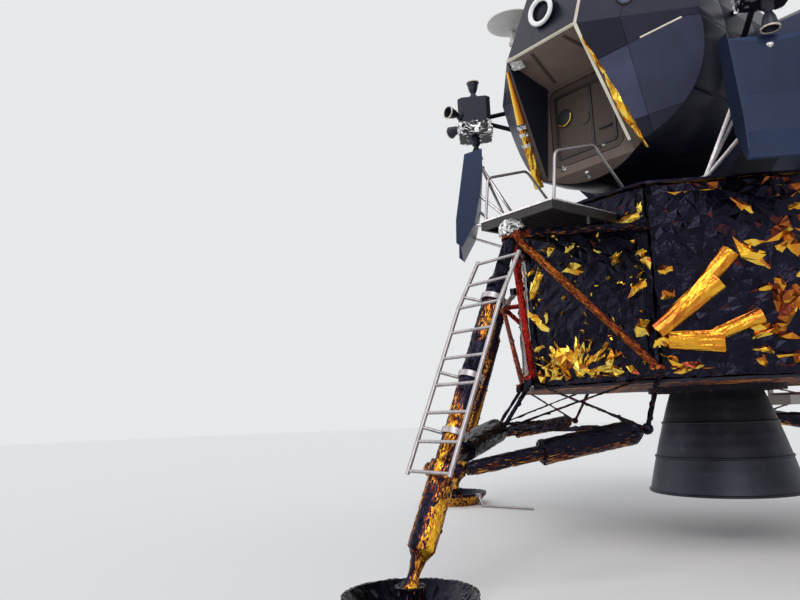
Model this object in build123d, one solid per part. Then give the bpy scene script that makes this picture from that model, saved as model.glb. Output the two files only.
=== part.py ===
from build123d import *
import math
import os

# A full-size two-stage lunar module, parked on its four pads. Sizes are millimetres.
# Z is up from the ground, the ladder and hatch face -Y, port is +X and starboard is -X.

# Fits between pieces
seat_gap = 0.3
pin_clearance = 0.5
door_gap = 8.0

# Descent stage structure
base_z = 1578.0
deck_z = 3226.0
beam_half = 686.0
face_reach = 2108.0
well_half = 640.0
well_roof_z = 2960.0
deck_thickness = 30.0
deck_overhang = 22.0
shield_thickness = 30.0
shield_hole_radius = 622.0
shield_lip_height = 60.0
seam_depth = 14.0
seam_width = 26.0

# Descent engine
gimbal_z = 2160.0
bell_exit_z = 470.0
bell_exit_radius = 750.0
bell_throat_radius = 150.0
bell_wall = 18.0
bell_rib_radius = 14.0
chamber_radius = 235.0
chamber_top_z = 2800.0
chamber_dome_z = 2560.0
dome_rise = 160.0
injector_radius = 110.0
ring_inner_radius = 300.0
ring_width = 60.0
ring_height = 90.0
trunnion_radius = 30.0

# Landing gear
strut_top_reach = face_reach + 912.0
strut_top_z = 2830.0
pad_reach = 4242.0
ball_z = 215.0
ball_radius = 72.0
strut_radius = 88.0
strut_neck = 60.0
strut_neck_end = 420.0
wrap_radius = 104.0
collar_z = 960.0
collar_radius = 116.0
collar_height = 120.0
lug_radius = 58.0
lug_offset = 150.0
truss_half = 760.0
truss_reach = face_reach + 382.0
truss_z = 1195.0
outrigger_tube = 44.0
outrigger_top_z = strut_top_z + 40.0
outrigger_low_z = base_z + 70.0
truss_tube = 32.0
apex_radius = 105.0
secondary_outer = 98.0
secondary_inner = 60.0
pad_radius = 470.0
pad_sole_radius = 330.0
pad_height = 185.0
pad_wall = 28.0
probe_radius = 16.0
probe_length = 900.0
probe_knuckle = 21.0

# Ladder on the front leg
ladder_half = 232.0
ladder_offset = 130.0
ladder_bend = 52.0
ladder_bend_at = 760.0
rung_count = 9
rung_spacing = 228.6
first_rung = 300.0
rail_radius = 17.0
rung_radius = 13.0
rail_end = 25.0
weld_rise = 2.0
clamp_height = 46.0
clamp_wall = 12.0
ladder_clamps = (1, 4, 6)

# Porch and handrails
porch_half = 406.0
porch_front_y = -2970.0
porch_top_z = 3050.0
porch_beam_depth = 90.0
porch_beam_width = 30.0
porch_post_radius = 18.0
porch_ribs = 12
porch_rib_depth = 26.0
porch_skin = 10.0
handrail_radius = 13.0
handrail_height = 420.0
handrail_rise = 170.0
handrail_crest_y = -2330.0
handrail_foot_y = -1880.0
handrail_bend = 90.0

# Tool pallet in the starboard front bay
pallet_width = 1150.0
pallet_height = 1080.0
pallet_depth = 360.0
pallet_sill_z = 1760.0
pallet_hinge_room = 60.0
pallet_barrel = 16.0
pallet_barrel_length = 920.0
pallet_pin = 8.0

# Plume deflectors
deflector_width = 780.0
deflector_thickness = 12.0
deflector_top_z = 4290.0
deflector_bend_z = 3760.0
deflector_lip_z = 3170.0
deflector_reach = (beam_half + face_reach) / math.sqrt(2) + 364.0
deflector_bend_reach = deflector_reach + 50.0
deflector_lip_reach = deflector_reach + 280.0
deflector_knee_reach = deflector_reach + 130.0
deflector_knee_z = 3430.0
deflector_foot_half = 480.0
deflector_foot_inset = 60.0
deflector_tube = 16.0
cheek_depth = 190.0
cheek_lip = 50.0

# Ascent stage cabin
cabin_radius = 1168.0
cabin_z = 4700.0
cabin_rear_y = -686.0
cabin_wall = 45.0
hood_y = -2480.0
hood_z = 4740.0
hood_half = 410.0
sill_y = -1830.0
sill_z = 3560.0
sill_half = 650.0
brow_y = -2080.0
brow_z = 5700.0
brow_half = 360.0
cheek_x = 1130.0
cheek_y = -1790.0
cheek_z = 4760.0
recess_y = -1880.0
recess_top_z = 4610.0
recess_step = 20.0
recess_top_half = 398.0
recess_low_half = 512.0
hatch_half = 406.0
hatch_z = 4150.0
hatch_corner = 90.0
hatch_thickness = 40.0
hinge_x = -426.0
hinge_y = -1812.0
hinge_spread = 250.0
hinge_barrel = 16.0
hinge_pin = 8.0
window_thickness = 12.0
window_seat = 18.0
docking_width = 130.0
docking_length = 300.0
docking_corner = 25.0
docking_x = 560.0
docking_y = -1560.0
docking_sink = 5.0
floor_z = 3730.0
floor_thickness = 24.0
cover_radius = 280.0
cover_height = 420.0
console_x = 640.0
console_height = 800.0

# Tracking light on the front beam
light_z = 5090.0
light_front_y = -2430.0
light_radius = 140.0
light_lens_radius = 107.0
light_lens_depth = 34.0

# Fuel cask on the port aft bay
cask_z = 2480.0
cask_out = 230.0
cask_radius = 100.0
cask_length = 460.0
cask_tilt = 25.0
cask_band_rise = 8.0
cask_arm_radius = 16.0

# Midsection, tunnel and bays
mid_rear_y = 686.0
mid_half = 1110.0
mid_low_z = 4300.0
mid_high_z = 5050.0
mid_floor_half = 620.0
mid_chine_half = 1010.0
mid_chine_z = 3900.0
mid_shoulder_half = 860.0
mid_shoulder_z = 5560.0
mid_top_half = 420.0
mid_top_z = 5860.0
tunnel_top_z = 6185.0
tunnel_radius = 430.0
tunnel_bore = 400.0
tunnel_low_z = 5500.0
dock_ring_height = 60.0
dock_ring_flange = 30.0
drogue_radius = 60.0
drogue_z = 5760.0
feet_top = 560.0
feet_low = 640.0
feet_radius = 40.0
port_bay_x = 2440.0
starboard_bay_x = -1930.0
port_bay_half = 360.0
starboard_bay_half = 420.0
bay_inner_half = 640.0
bay_inner_low = 4305.0
bay_inner_high = 5045.0
bay_knee = 0.45
bay_knee_half = 620.0
bay_knee_low = 4200.0
bay_knee_high = 5060.0
bay_outer_low = 4360.0
bay_outer_high = 4980.0
bay_corner = 0.36
aft_bay_y = 1700.0
aft_bay_half = 1060.0
aft_face_half = 760.0
aft_corner_y = 1380.0
aft_bay_low = 3700.0
aft_bay_high = 5560.0
aft_columns = 3
aft_rows = 2
aft_seam = 50.0
aft_panel_rise = 12.0
ascent_base_z = 3400.0
skirt_radius = 480.0
skirt_rise = 60.0

# Thruster clusters
quad_offset = 1690.0
quad_z = 4800.0
quad_half = 190.0
quad_height = 440.0
quad_nozzle_start = 160.0
quad_strut_x = 870.0
quad_strut_y = -760.0
quad_strut_drop = 320.0
quad_strut_radius = 26.0
nozzle_exit = 72.0
nozzle_throat = 26.0
nozzle_length = 270.0
nozzle_wall = 8.0

# Radar dish on top of the front
radar_y = -1600.0
radar_z = 6350.0
radar_dish_radius = 305.0
radar_pin_reach = 200.0
radar_dish_reach = 200.0

# Steerable dish on the starboard boom
boom_x = -1480.0
boom_y = -800.0
boom_z = 6100.0
sband_radius = 330.0
sband_pin_reach = 300.0
sband_dish_reach = 200.0

# Antennas
mast_top_z = 6985.0
mast_x = -640.0
mast_y = 900.0


def tube(start, end, radius):
    """A round bar from one point to another."""
    line = Vector(*end) - Vector(*start)
    bar = Cylinder(radius, line.length, align=(Align.CENTER, Align.CENTER, Align.MIN))
    return Plane(origin=start, z_dir=line).location * bar


def ball(centre, radius):
    """A sphere whose seam lies clear of the tubes that meet in it."""
    return Pos(*centre) * Rot(0, 0, 250) * Sphere(radius)


def joined(pieces):
    """Fuse a list of touching solids."""
    return pieces[0] + pieces[1:]


def prism_x(points, half):
    """Extrude a profile drawn in Y and Z to both sides of X = 0."""
    return extrude(Plane.YZ * make_face(Polyline(*points, close=True)), half, both=True)


def prism_y(points, start, end):
    """Extrude a profile drawn in X and Z from start to end along Y."""
    face = make_face(Polyline(*[(x, start, z) for x, z in points], close=True))
    return extrude(face, end - start, dir=(0, 1, 0))


def prism_z(points, low, high):
    """Extrude a profile drawn in X and Y from low to high."""
    face = make_face(Polyline(*[(x, y, low) for x, y in points], close=True))
    return extrude(face, high - low, dir=(0, 0, 1))


def turned(points):
    """Revolve a profile of radius and height about Z."""
    return revolve(Plane.XZ * make_face(Polyline(*points, close=True)), Axis.Z)


def mirrored_pair(piece):
    """A piece and its mirror image across the X = 0 plane, as separate solids."""
    return [piece, mirror(piece, about=Plane.YZ)]


parts = {}


# Descent stage

def octagon(reach, half):
    return [
        (half, -reach), (reach, -half), (reach, half), (half, reach),
        (-half, reach), (-reach, half), (-reach, -half), (-half, -reach),
    ]


def build_descent_structure():
    """Cross-shaped beam structure with the engine well open at the bottom."""
    height = deck_z - base_z
    centre_z = (deck_z + base_z) / 2
    along = Pos(0, 0, centre_z) * Box(2 * beam_half, 2 * face_reach, height)
    across = Pos(0, 0, centre_z) * Box(2 * face_reach, 2 * beam_half, height)
    well_height = well_roof_z - base_z
    well = Pos(0, 0, base_z + well_height / 2) * Box(2 * well_half, 2 * well_half, well_height)
    body = along + across - well
    for turn in range(4):
        for side in (-1, 1):
            seam_x = side * (beam_half - 3 * seam_width)
            seam = Pos(seam_x, -face_reach, centre_z) * Box(seam_width, 2 * seam_depth, height)
            body = body - Rot(0, 0, 90 * turn) * seam
    return body


def bay_outline(inset):
    """The triangle between two arms of the cross, port front corner."""
    return [
        (beam_half, -face_reach + inset), (face_reach - inset, -beam_half), (beam_half, -beam_half),
    ]


def build_quad_bays():
    """The three closed corner bays, with a stepped frame round each outer panel."""
    bays = []
    for turn in (0, 1, 2):
        bay = prism_z(bay_outline(seam_depth), base_z, deck_z)
        for low, high in ((base_z, base_z + 90), (deck_z - 90, deck_z)):
            bay = bay + prism_z(bay_outline(0), low, high)
        bays.append(Rot(0, 0, 90 * turn) * bay)
    return Compound(children=bays)


diagonal_reach = (beam_half + face_reach) / math.sqrt(2)
pallet_hinge_x = diagonal_reach - 4.0
# The diagonal frames have X outward from a corner bay and Y to the left of it
starboard_front = Rot(0, 0, 225)


def build_pallet_bay():
    """Corner bay with the recess that the tool pallet folds into."""
    bay = Rot(0, 0, 270) * prism_z(bay_outline(0), base_z, deck_z)
    depth = pallet_depth + door_gap
    height = pallet_height + 2 * door_gap
    recess = Pos(diagonal_reach - depth, 0, pallet_sill_z - door_gap) * Box(
        2 * depth, pallet_width + 2 * door_gap, height,
        align=(Align.MIN, Align.CENTER, Align.MIN))
    hinge_room = Pos(diagonal_reach, 0, pallet_sill_z) * Box(
        pallet_hinge_room, pallet_width + 2 * door_gap, pallet_hinge_room)
    bay = bay - starboard_front * (recess + hinge_room)
    reach = pallet_barrel_length / 2
    for side in (-1, 1):
        lug = Pos(pallet_hinge_x, side * (reach + 21), pallet_sill_z - pallet_hinge_room / 2 - 2) * Box(
            32, 30, pallet_hinge_room / 2 + 16, align=(Align.CENTER, Align.CENTER, Align.MIN))
        pin = Pos(pallet_hinge_x, side * (reach - 5), pallet_sill_z) * Rot(90, 0, 0) * Cylinder(
            pallet_pin, 60)
        bay = bay + starboard_front * (lug + pin)
    return bay


def build_tool_pallet():
    """Pallet with its face panel, hinged along its lower outer edge."""
    box = Box(pallet_depth - 30, pallet_width - 60, pallet_height - 60,
              align=(Align.MAX, Align.CENTER, Align.CENTER))
    panel = Box(30, pallet_width, pallet_height, align=(Align.MAX, Align.CENTER, Align.CENTER))
    middle = pallet_sill_z + pallet_height / 2
    pallet = Pos(diagonal_reach - 30, 0, middle) * box + Pos(diagonal_reach, 0, middle) * panel
    axis = Pos(pallet_hinge_x, 0, pallet_sill_z) * Rot(90, 0, 0)
    pallet = pallet & axis * Cylinder(pallet_height + 2, 2 * pallet_width)
    pallet = pallet - Pos(diagonal_reach, 0, pallet_sill_z) * Box(
        pallet_hinge_room, pallet_width + 2, pallet_hinge_room)
    barrel = axis * Cylinder(pallet_barrel, pallet_barrel_length)
    web = Pos(pallet_hinge_x, 0, pallet_sill_z) * Box(
        pallet_barrel, pallet_barrel_length, pallet_hinge_room / 2 + 4,
        align=(Align.MAX, Align.CENTER, Align.MIN))
    bore = axis * (Cylinder(pallet_pin + pin_clearance, 2 * pallet_width) - Cylinder(
        2 * pallet_barrel, pallet_barrel_length - 100))
    return starboard_front * (pallet + barrel + web - bore)


def build_descent_deck():
    deck = prism_z(octagon(face_reach + deck_overhang, beam_half + 9), deck_z, deck_z + deck_thickness)
    socket = Pos(0, 0, deck_z) * Cylinder(520, 4 * deck_thickness)
    return deck - socket


def build_base_shield():
    """Bottom heat shield with the flared opening round the bell."""
    low = base_z - shield_thickness
    plate = prism_z(octagon(face_reach, beam_half), low, base_z)
    collar = Pos(0, 0, low - shield_lip_height / 2) * Cylinder(shield_hole_radius + 60, shield_lip_height)
    hole = Pos(0, 0, base_z - 90) * Cylinder(shield_hole_radius, 400)
    return plate + collar - hole


# Descent engine

def bell_radius(share):
    """Radius of the bell at a share of its length down from the throat."""
    return bell_throat_radius + (bell_exit_radius - bell_throat_radius) * share ** 0.62


bell_top_z = gimbal_z - 130.0


def build_engine_bell():
    """Thin bell with stiffening rings, open at both ends."""
    steps = 9
    length = bell_top_z - bell_exit_z
    outer = [(bell_radius(i / steps), bell_top_z - length * i / steps) for i in range(steps + 1)]
    inner = [(radius - bell_wall, z) for radius, z in reversed(outer)]
    shell = turned(outer + inner)
    for step in (3, 5, 7, 9):
        radius, z = outer[step]
        ring = Pos(0, 0, z + bell_rib_radius) * Torus(radius - 4, bell_rib_radius)
        shell = shell + ring
    lip = Pos(0, 0, bell_exit_z + bell_rib_radius) * Torus(bell_exit_radius - 4, bell_rib_radius)
    return shell + lip


def build_engine_chamber():
    """Combustion chamber, throat and injector dome, with the inner trunnion pins."""
    neck = bell_throat_radius
    chamber = turned([
        (0, bell_top_z), (neck, bell_top_z), (neck, gimbal_z - 70), (neck + 30, gimbal_z - 40),
        (neck + 60, gimbal_z + 60), (chamber_radius, gimbal_z + 180), (chamber_radius, chamber_dome_z),
        (chamber_radius - 60, chamber_dome_z + dome_rise / 2), (injector_radius, chamber_dome_z + dome_rise),
        (injector_radius, chamber_top_z), (0, chamber_top_z),
    ])
    reach = ring_inner_radius + ring_width - 2
    pins = tube((0, -reach, gimbal_z), (0, reach, gimbal_z), trunnion_radius)
    return chamber + pins


def build_gimbal_ring():
    """Ring that carries the engine on two pins and turns on two others."""
    outer = ring_inner_radius + ring_width
    ring = Pos(0, 0, gimbal_z) * (Cylinder(outer, ring_height) - Cylinder(ring_inner_radius, ring_height + 2))
    bore_radius = trunnion_radius + pin_clearance
    bore = tube((0, -outer - 20, gimbal_z), (0, outer + 20, gimbal_z), bore_radius)
    ring = ring - bore
    reach = well_half - 5
    for side in (-1, 1):
        ring = ring + tube((side * (outer - 30), 0, gimbal_z), (side * reach, 0, gimbal_z), trunnion_radius)
    return ring


def build_gimbal_mounts():
    """Two bearing blocks on the well walls."""
    block = Pos(well_half, 0, gimbal_z) * Box(150, 160, 160, align=(Align.MAX, Align.CENTER, Align.CENTER))
    bore = tube((well_half - 200, 0, gimbal_z), (well_half, 0, gimbal_z), trunnion_radius + pin_clearance)
    return Compound(children=mirrored_pair(block - bore))


# Landing gear, drawn for the front leg and turned for the others

legs = {"front": 0, "port": 90, "aft": 180, "starboard": 270}
strut_top = (0, -strut_top_reach, strut_top_z)
strut_ball = (0, -pad_reach, ball_z)
strut_length = (Vector(*strut_ball) - Vector(*strut_top)).length
collar_distance = strut_length * (strut_top_z - collar_z) / (strut_top_z - ball_z)


def along_strut(distance, sideways=0.0, outward=0.0):
    """A point at a distance down the primary strut, offset sideways and outward."""
    down = (Vector(*strut_ball) - Vector(*strut_top)).normalized()
    out = Vector(0, down.Z, -down.Y)
    point = Vector(*strut_top) + down * distance + out * outward + Vector(sideways, 0, 0)
    return tuple(point)


strut_plane = Plane(origin=strut_top, x_dir=(1, 0, 0), z_dir=Vector(*strut_ball) - Vector(*strut_top))


def outrigger_tubes(radius):
    """The four tubes from the corners of the leg's face to the strut's top."""
    pieces = []
    for side in (-1, 1):
        for corner_z in (outrigger_top_z, outrigger_low_z):
            pieces.append(tube((side * beam_half, -face_reach, corner_z), strut_top, radius))
    return pieces


def build_outrigger():
    """Four tubes to the strut's top, and the deployment truss below, on corner lugs."""
    pieces = [ball(strut_top, apex_radius)] + outrigger_tubes(outrigger_tube)
    for side in (-1, 1):
        corner = (side * truss_half, -truss_reach, truss_z)
        inner = (side * beam_half, -face_reach - 20, outrigger_low_z - 15)
        opposite = (-side * beam_half, -face_reach - 20, outrigger_low_z - 15)
        pieces.append(tube(inner, corner, truss_tube))
        pieces.append(tube(opposite, corner, truss_tube * 0.7))
        pieces.append(ball(corner, lug_radius))
        for lug_z in (outrigger_top_z, outrigger_low_z - 8):
            lug = Pos(side * beam_half, -face_reach, lug_z) * Box(
                110, 90, 110, align=(Align.CENTER, Align.MAX, Align.CENTER))
            pieces.append(lug)
    left = (-truss_half, -truss_reach, truss_z)
    right = (truss_half, -truss_reach, truss_z)
    pieces.append(tube(left, right, truss_tube))
    body = joined(pieces)
    behind = Pos(0, -face_reach, strut_top_z) * Box(
        4 * beam_half, 400, 8000, align=(Align.CENTER, Align.MIN, Align.CENTER))
    socket = strut_plane.location * Cylinder(
        strut_neck + seat_gap, 400, align=(Align.CENTER, Align.CENTER, Align.MIN))
    return body - behind - socket


def build_primary_strut():
    """Outer cylinder, collar, wrapped lower cylinder and ball end, one turned shape."""
    collar_start = collar_distance - collar_height / 2
    collar_end = collar_distance + collar_height / 2
    profile = [
        (0, 0), (strut_neck, 0), (strut_neck, strut_neck_end),
        (strut_radius, strut_neck_end + 50), (strut_radius, collar_start),
        (collar_radius, collar_start + 12), (collar_radius, collar_end - 12),
        (wrap_radius, collar_end + 10), (wrap_radius, strut_length - 260),
        (strut_radius * 0.7, strut_length - 190), (ball_radius * 0.6, strut_length - 100),
        (ball_radius * 0.6, strut_length), (0, strut_length),
    ]
    strut = strut_plane.location * turned(profile)
    strut = strut + ball(strut_ball, ball_radius)
    for side in (-1, 1):
        lug = along_strut(collar_distance, side * lug_offset)
        strut = strut + tube(along_strut(collar_distance), lug, 40) + ball(lug, lug_radius)
    return strut


def build_secondary_struts():
    """Two telescoping struts from the collar to the deployment truss."""
    outer_end = along_strut(collar_distance, lug_offset)
    inner_end = (truss_half, -truss_reach, truss_z)
    length = (Vector(*inner_end) - Vector(*outer_end)).length
    reach = lug_radius + seat_gap
    neck = 46.0
    taper = 70.0
    step = length * 0.42
    profile = [
        (0, reach), (neck, reach), (secondary_inner, reach + taper), (secondary_inner, step),
        (secondary_outer, step), (secondary_outer, length - reach - taper),
        (neck, length - reach), (0, length - reach),
    ]
    plane = Plane(origin=outer_end, z_dir=Vector(*inner_end) - Vector(*outer_end))
    strut = plane.location * turned(profile)
    return Compound(children=mirrored_pair(strut))


def build_footpad():
    """Dished pad with a hub that holds the strut's ball."""
    rim = pad_radius
    sole = pad_sole_radius
    pad = turned([
        (0, 0), (sole, 0), (rim, pad_height - 50), (rim, pad_height), (rim - pad_wall, pad_height),
        (sole - pad_wall, pad_wall + 30), (190, pad_wall + 16), (110, 120), (110, ball_z + 20), (0, ball_z + 20),
    ])
    socket = ball((0, 0, ball_z), ball_radius + seat_gap)
    neck_room = Pos(0, 0, ball_z) * Rot(-23.5, 0, 0) * Cylinder(
        ball_radius * 0.6 + 30, 200, align=(Align.CENTER, Align.CENTER, Align.MIN))
    return Pos(0, -pad_reach, 0) * (pad - socket - neck_room)


def build_contact_probe():
    """Sensing rod that has folded flat beside its pad on landing."""
    rim_y = -pad_reach + pad_radius
    root = (0, rim_y + 45, pad_height - 40)
    toe = (0, rim_y + 120, probe_knuckle)
    tip = (-200, rim_y + probe_length, probe_knuckle)
    lug = Pos(0, rim_y, pad_height - 25) * Box(70, 120, 46)
    lug = lug - Pos(0, -pad_reach, 0) * Cylinder(pad_radius + seat_gap, 3 * pad_height)
    rod = tube(root, toe, probe_radius) + ball(toe, probe_knuckle) + tube(toe, tip, probe_radius)
    return lug + rod


# Ladder and porch

def ladder_offset_at(distance):
    """Stand-off of the ladder from the strut's axis, smaller above its bend."""
    above = max(0.0, ladder_bend_at - distance)
    return ladder_offset - ladder_bend * above / (ladder_bend_at - first_rung)


def build_ladder():
    """Nine rungs between two rails that bend in at the top, on three clamps."""
    last = first_rung + rung_spacing * (rung_count - 1)
    pieces = []
    for side in (-1, 1):
        stations = (first_rung - rail_end, ladder_bend_at, last + rail_end)
        top, bend, low = [along_strut(at, side * ladder_half, ladder_offset_at(at)) for at in stations]
        pieces += [tube(top, bend, rail_radius), ball(bend, rail_radius + weld_rise), tube(bend, low, rail_radius)]
    for index in range(rung_count):
        distance = first_rung + rung_spacing * index
        offset = ladder_offset_at(distance)
        left = along_strut(distance, -ladder_half, offset)
        right = along_strut(distance, ladder_half, offset)
        pieces.append(tube(left, right, rung_radius))
    for index in ladder_clamps:
        distance = first_rung + rung_spacing * (index + 0.5)
        ring = Cylinder(strut_radius + seat_gap + clamp_wall, clamp_height)
        ring = ring - Cylinder(strut_radius + seat_gap, clamp_height + 2)
        pieces.append(strut_plane.location * Pos(0, 0, distance) * ring)
        for side in (-1, 1):
            near = along_strut(distance, side * (strut_radius + clamp_wall + 2))
            rail = along_strut(distance, side * ladder_half, ladder_offset_at(distance))
            pieces.append(tube(near, rail, rung_radius))
    return joined(pieces)


def build_porch():
    """Corrugated platform between two side beams, with two struts to the stage."""
    width = 2 * porch_half
    pitch = width / porch_ribs
    top = []
    for index in range(porch_ribs):
        start = -porch_half + pitch * index
        top += [
            (start, porch_top_z - porch_rib_depth), (start + pitch * 0.2, porch_top_z),
            (start + pitch * 0.7, porch_top_z), (start + pitch * 0.9, porch_top_z - porch_rib_depth),
        ]
    top.append((porch_half, porch_top_z - porch_rib_depth))
    bottom = [(x, z - porch_skin) for x, z in reversed(top)]
    rear_y = -face_reach
    sheet = prism_y(top + bottom, porch_front_y, rear_y)
    low_z = porch_top_z - porch_beam_depth
    beam_x = porch_half - porch_beam_width / 2
    beams = []
    for side in (-1, 1):
        beam = Pos(side * beam_x, porch_front_y, low_z) * Box(
            porch_beam_width, rear_y - porch_front_y, porch_beam_depth,
            align=(Align.CENTER, Align.MIN, Align.MIN))
        beams.append(beam)
    front_bar = Pos(0, porch_front_y + porch_beam_width / 2, low_z) * Box(
        width, porch_beam_width, porch_beam_depth - porch_rib_depth, align=(Align.CENTER, Align.CENTER, Align.MIN))
    mid_y = -face_reach - (strut_top_reach - face_reach) * (1 - beam_x / beam_half)
    pieces = [sheet] + beams + [front_bar]
    for post_y in (porch_front_y + porch_beam_width / 2, mid_y):
        share = (-face_reach - post_y) / (strut_top_reach - face_reach)
        tube_z = outrigger_top_z + (strut_top_z - outrigger_top_z) * share
        x = beam_half * (1 - share)
        for side in (-1, 1):
            post = tube((side * x, post_y, tube_z), (side * x, post_y, low_z), porch_post_radius)
            post = post - outrigger_tubes(outrigger_tube + seat_gap) - ball(strut_top, apex_radius + seat_gap)
            pieces.append(post)
    return joined(pieces)


def build_handrails():
    """Bent tube rail on each side, from the porch's front up, over and down to the deck."""
    x = porch_half - porch_beam_width / 2
    foot_z = porch_top_z
    front = porch_front_y + 45
    deck_top = deck_z + deck_thickness
    path = FilletPolyline(
        (x, front, foot_z), (x, front + 60, foot_z + handrail_height),
        (x, handrail_crest_y, foot_z + handrail_height + handrail_rise),
        (x, handrail_foot_y, deck_top), radius=handrail_bend)
    profile = Plane(origin=(x, front, foot_z), z_dir=(0, 60, handrail_height)) * Circle(handrail_radius)
    rail = sweep(profile, path=path)
    low_room = Pos(x, front, foot_z) * Box(400, 400, 400, align=(Align.CENTER, Align.CENTER, Align.MAX))
    deck_room = Pos(x, handrail_foot_y, deck_top) * Box(400, 400, 400, align=(Align.CENTER, Align.CENTER, Align.MAX))
    return Compound(children=mirrored_pair(rail - low_room - deck_room))


# Plume deflectors on the four corners of the deck

def build_deflector():
    """A curved scoop on four tubes, drawn outward along X."""
    face = make_face(Polyline(
        (deflector_reach, deflector_top_z), (deflector_bend_reach, deflector_bend_z),
        (deflector_knee_reach, deflector_knee_z), (deflector_lip_reach, deflector_lip_z),
        (deflector_lip_reach - deflector_thickness, deflector_lip_z - deflector_thickness),
        (deflector_knee_reach - deflector_thickness * 1.2, deflector_knee_z - deflector_thickness * 0.5),
        (deflector_bend_reach - deflector_thickness, deflector_bend_z),
        (deflector_reach - deflector_thickness, deflector_top_z), close=True))
    scoop = extrude(Plane.XZ * face, deflector_width / 2, both=True)
    cheek = make_face(Polyline(
        (deflector_reach, deflector_top_z), (deflector_bend_reach, deflector_bend_z),
        (deflector_knee_reach, deflector_knee_z), (deflector_lip_reach, deflector_lip_z),
        (deflector_lip_reach + cheek_lip, deflector_lip_z + cheek_lip),
        (deflector_knee_reach + cheek_depth, deflector_knee_z + cheek_lip),
        (deflector_reach + cheek_depth, deflector_top_z - cheek_lip), close=True))
    cheek = extrude(Plane.XZ * cheek, deflector_thickness)
    for side in (-1, 1):
        edge = side * deflector_width / 2
        scoop = scoop + Pos(0, edge + (deflector_thickness if side < 0 else 0), 0) * cheek
    pieces = [scoop]
    foot_x = diagonal_reach - deflector_foot_inset
    foot_z = deck_z + deck_thickness
    peak = (deflector_reach - 4, 0, deflector_top_z - 90)
    pieces.append(ball(peak, 2 * deflector_tube))
    for side in (-1, 1):
        foot = (foot_x, side * deflector_foot_half, foot_z)
        edge_y = side * (deflector_width / 2 - 60)
        pieces.append(tube(foot, peak, deflector_tube))
        pieces.append(tube(foot, (deflector_bend_reach - 6, edge_y, deflector_bend_z), deflector_tube))
        pieces.append(tube(foot, (deflector_knee_reach - 6, edge_y, deflector_knee_z), deflector_tube))
        pieces.append(Pos(*foot) * Cylinder(45, 14, align=(Align.CENTER, Align.CENTER, Align.MIN)))
    body = joined(pieces)
    below = Pos(foot_x, 0, foot_z) * Box(
        400, 2 * deflector_foot_half + 400, 200, align=(Align.CENTER, Align.CENTER, Align.MAX))
    return body - below


# Ascent stage

def facet_plane(a, b, c):
    """Plane through three points, its normal away from the cabin's middle."""
    a, b, c = Vector(*a), Vector(*b), Vector(*c)
    normal = (b - a).cross(c - a).normalized()
    middle = Vector(0, -1000, cabin_z)
    if normal.dot(a - middle) < 0:
        normal = normal * -1
    return Plane(origin=a, z_dir=normal)


hood = (hood_half, hood_y, hood_z)
sill = (sill_half, sill_y, sill_z)
brow = (brow_half, brow_y, brow_z)
cheek = (cheek_x, cheek_y, cheek_z)
window_plane = facet_plane(hood, cheek, brow)
lower_plane = facet_plane(hood, sill, cheek)
chin_plane = facet_plane(hood, sill, (-hood_half, hood_y, hood_z))
beam_plane = facet_plane(hood, brow, (-hood_half, hood_y, hood_z))


def cut_outside(body, plane, inset):
    """Keep what lies behind a facet, moved inward by inset."""
    moved = plane.offset(-inset)
    return split(body, bisect_by=moved, keep=Keep.BOTTOM)


def cabin_body(inset):
    """Cabin cylinder cut by the facets of the front face."""
    front = hood_y - 100
    rear = cabin_rear_y - inset
    length = rear - front
    body = Pos(0, front, cabin_z) * Rot(-90, 0, 0) * Cylinder(
        cabin_radius - inset, length, align=(Align.CENTER, Align.CENTER, Align.MIN))
    body = cut_outside(body, beam_plane, inset)
    body = cut_outside(body, chin_plane, inset)
    for plane in (window_plane, lower_plane):
        body = cut_outside(body, plane, inset)
        body = mirror(body, about=Plane.YZ)
        body = cut_outside(body, plane, inset)
        body = mirror(body, about=Plane.YZ)
    return body


def recess_body(inset):
    """The box in front of the hatch, under the hood, narrower at its top."""
    low = sill_z + recess_step - inset
    high = hood_z + 2 * recess_step
    low_half = recess_low_half + inset
    high_half = recess_top_half + inset
    sides = [(-low_half, low), (low_half, low), (high_half, high), (-high_half, high)]
    profile = [
        (hood_y - 400, hood_z + recess_step), (hood_y + 30, hood_z - 14 + inset), (recess_y + inset, recess_top_z + inset),
        (recess_y + inset, low), (hood_y - 400, low),
    ]
    return prism_x(profile, low_half) & prism_y(sides, hood_y - 400, recess_y + inset)


def window_prism(grow, low, high):
    """Rounded triangle through the port window facet."""
    top_inner = Vector(470, 0, 5420)
    top_outer = Vector(930, 0, 5330)
    apex = Vector(690, 0, 4860)
    points = []
    for corner in (top_inner, top_outer, apex):
        normal = window_plane.z_dir
        offset = (window_plane.origin - corner).dot(normal) / normal.Y
        point = Vector(corner.X, offset, corner.Z)
        points.append(window_plane.to_local_coords(point))
    outline = Polyline(*[(p.X, p.Y) for p in points], close=True)
    face = make_face(outline)
    face = fillet(face.vertices(), 45)
    if grow:
        face = offset2d(face, grow)
    body = extrude(face, high - low)
    return window_plane.location * Pos(0, 0, low) * body


def docking_prism(grow, low, high):
    """Rounded oblong through the roof over the port station, low and high measured from its flat."""
    side = docking_width + 2 * grow
    length = docking_length + 2 * grow
    body = extrude(RectangleRounded(side, length, docking_corner + grow), high - low)
    turn = math.degrees(math.asin(docking_x / cabin_radius))
    return Pos(0, docking_y, cabin_z) * Rot(0, turn, 0) * Pos(0, 0, cabin_radius - docking_sink + low) * body


def offset2d(face, amount):
    return offset(face, amount=amount, kind=Kind.ARC)


def hatch_prism(grow, front, rear):
    """Rounded square through the hatch's wall."""
    side = 2 * (hatch_half + grow)
    plane = Plane(origin=(0, front, hatch_z), x_dir=(1, 0, 0), z_dir=(0, 1, 0))
    face = plane * RectangleRounded(side, side, max(hatch_corner + grow, 20))
    return extrude(face, rear - front, dir=(0, 1, 0))


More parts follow.
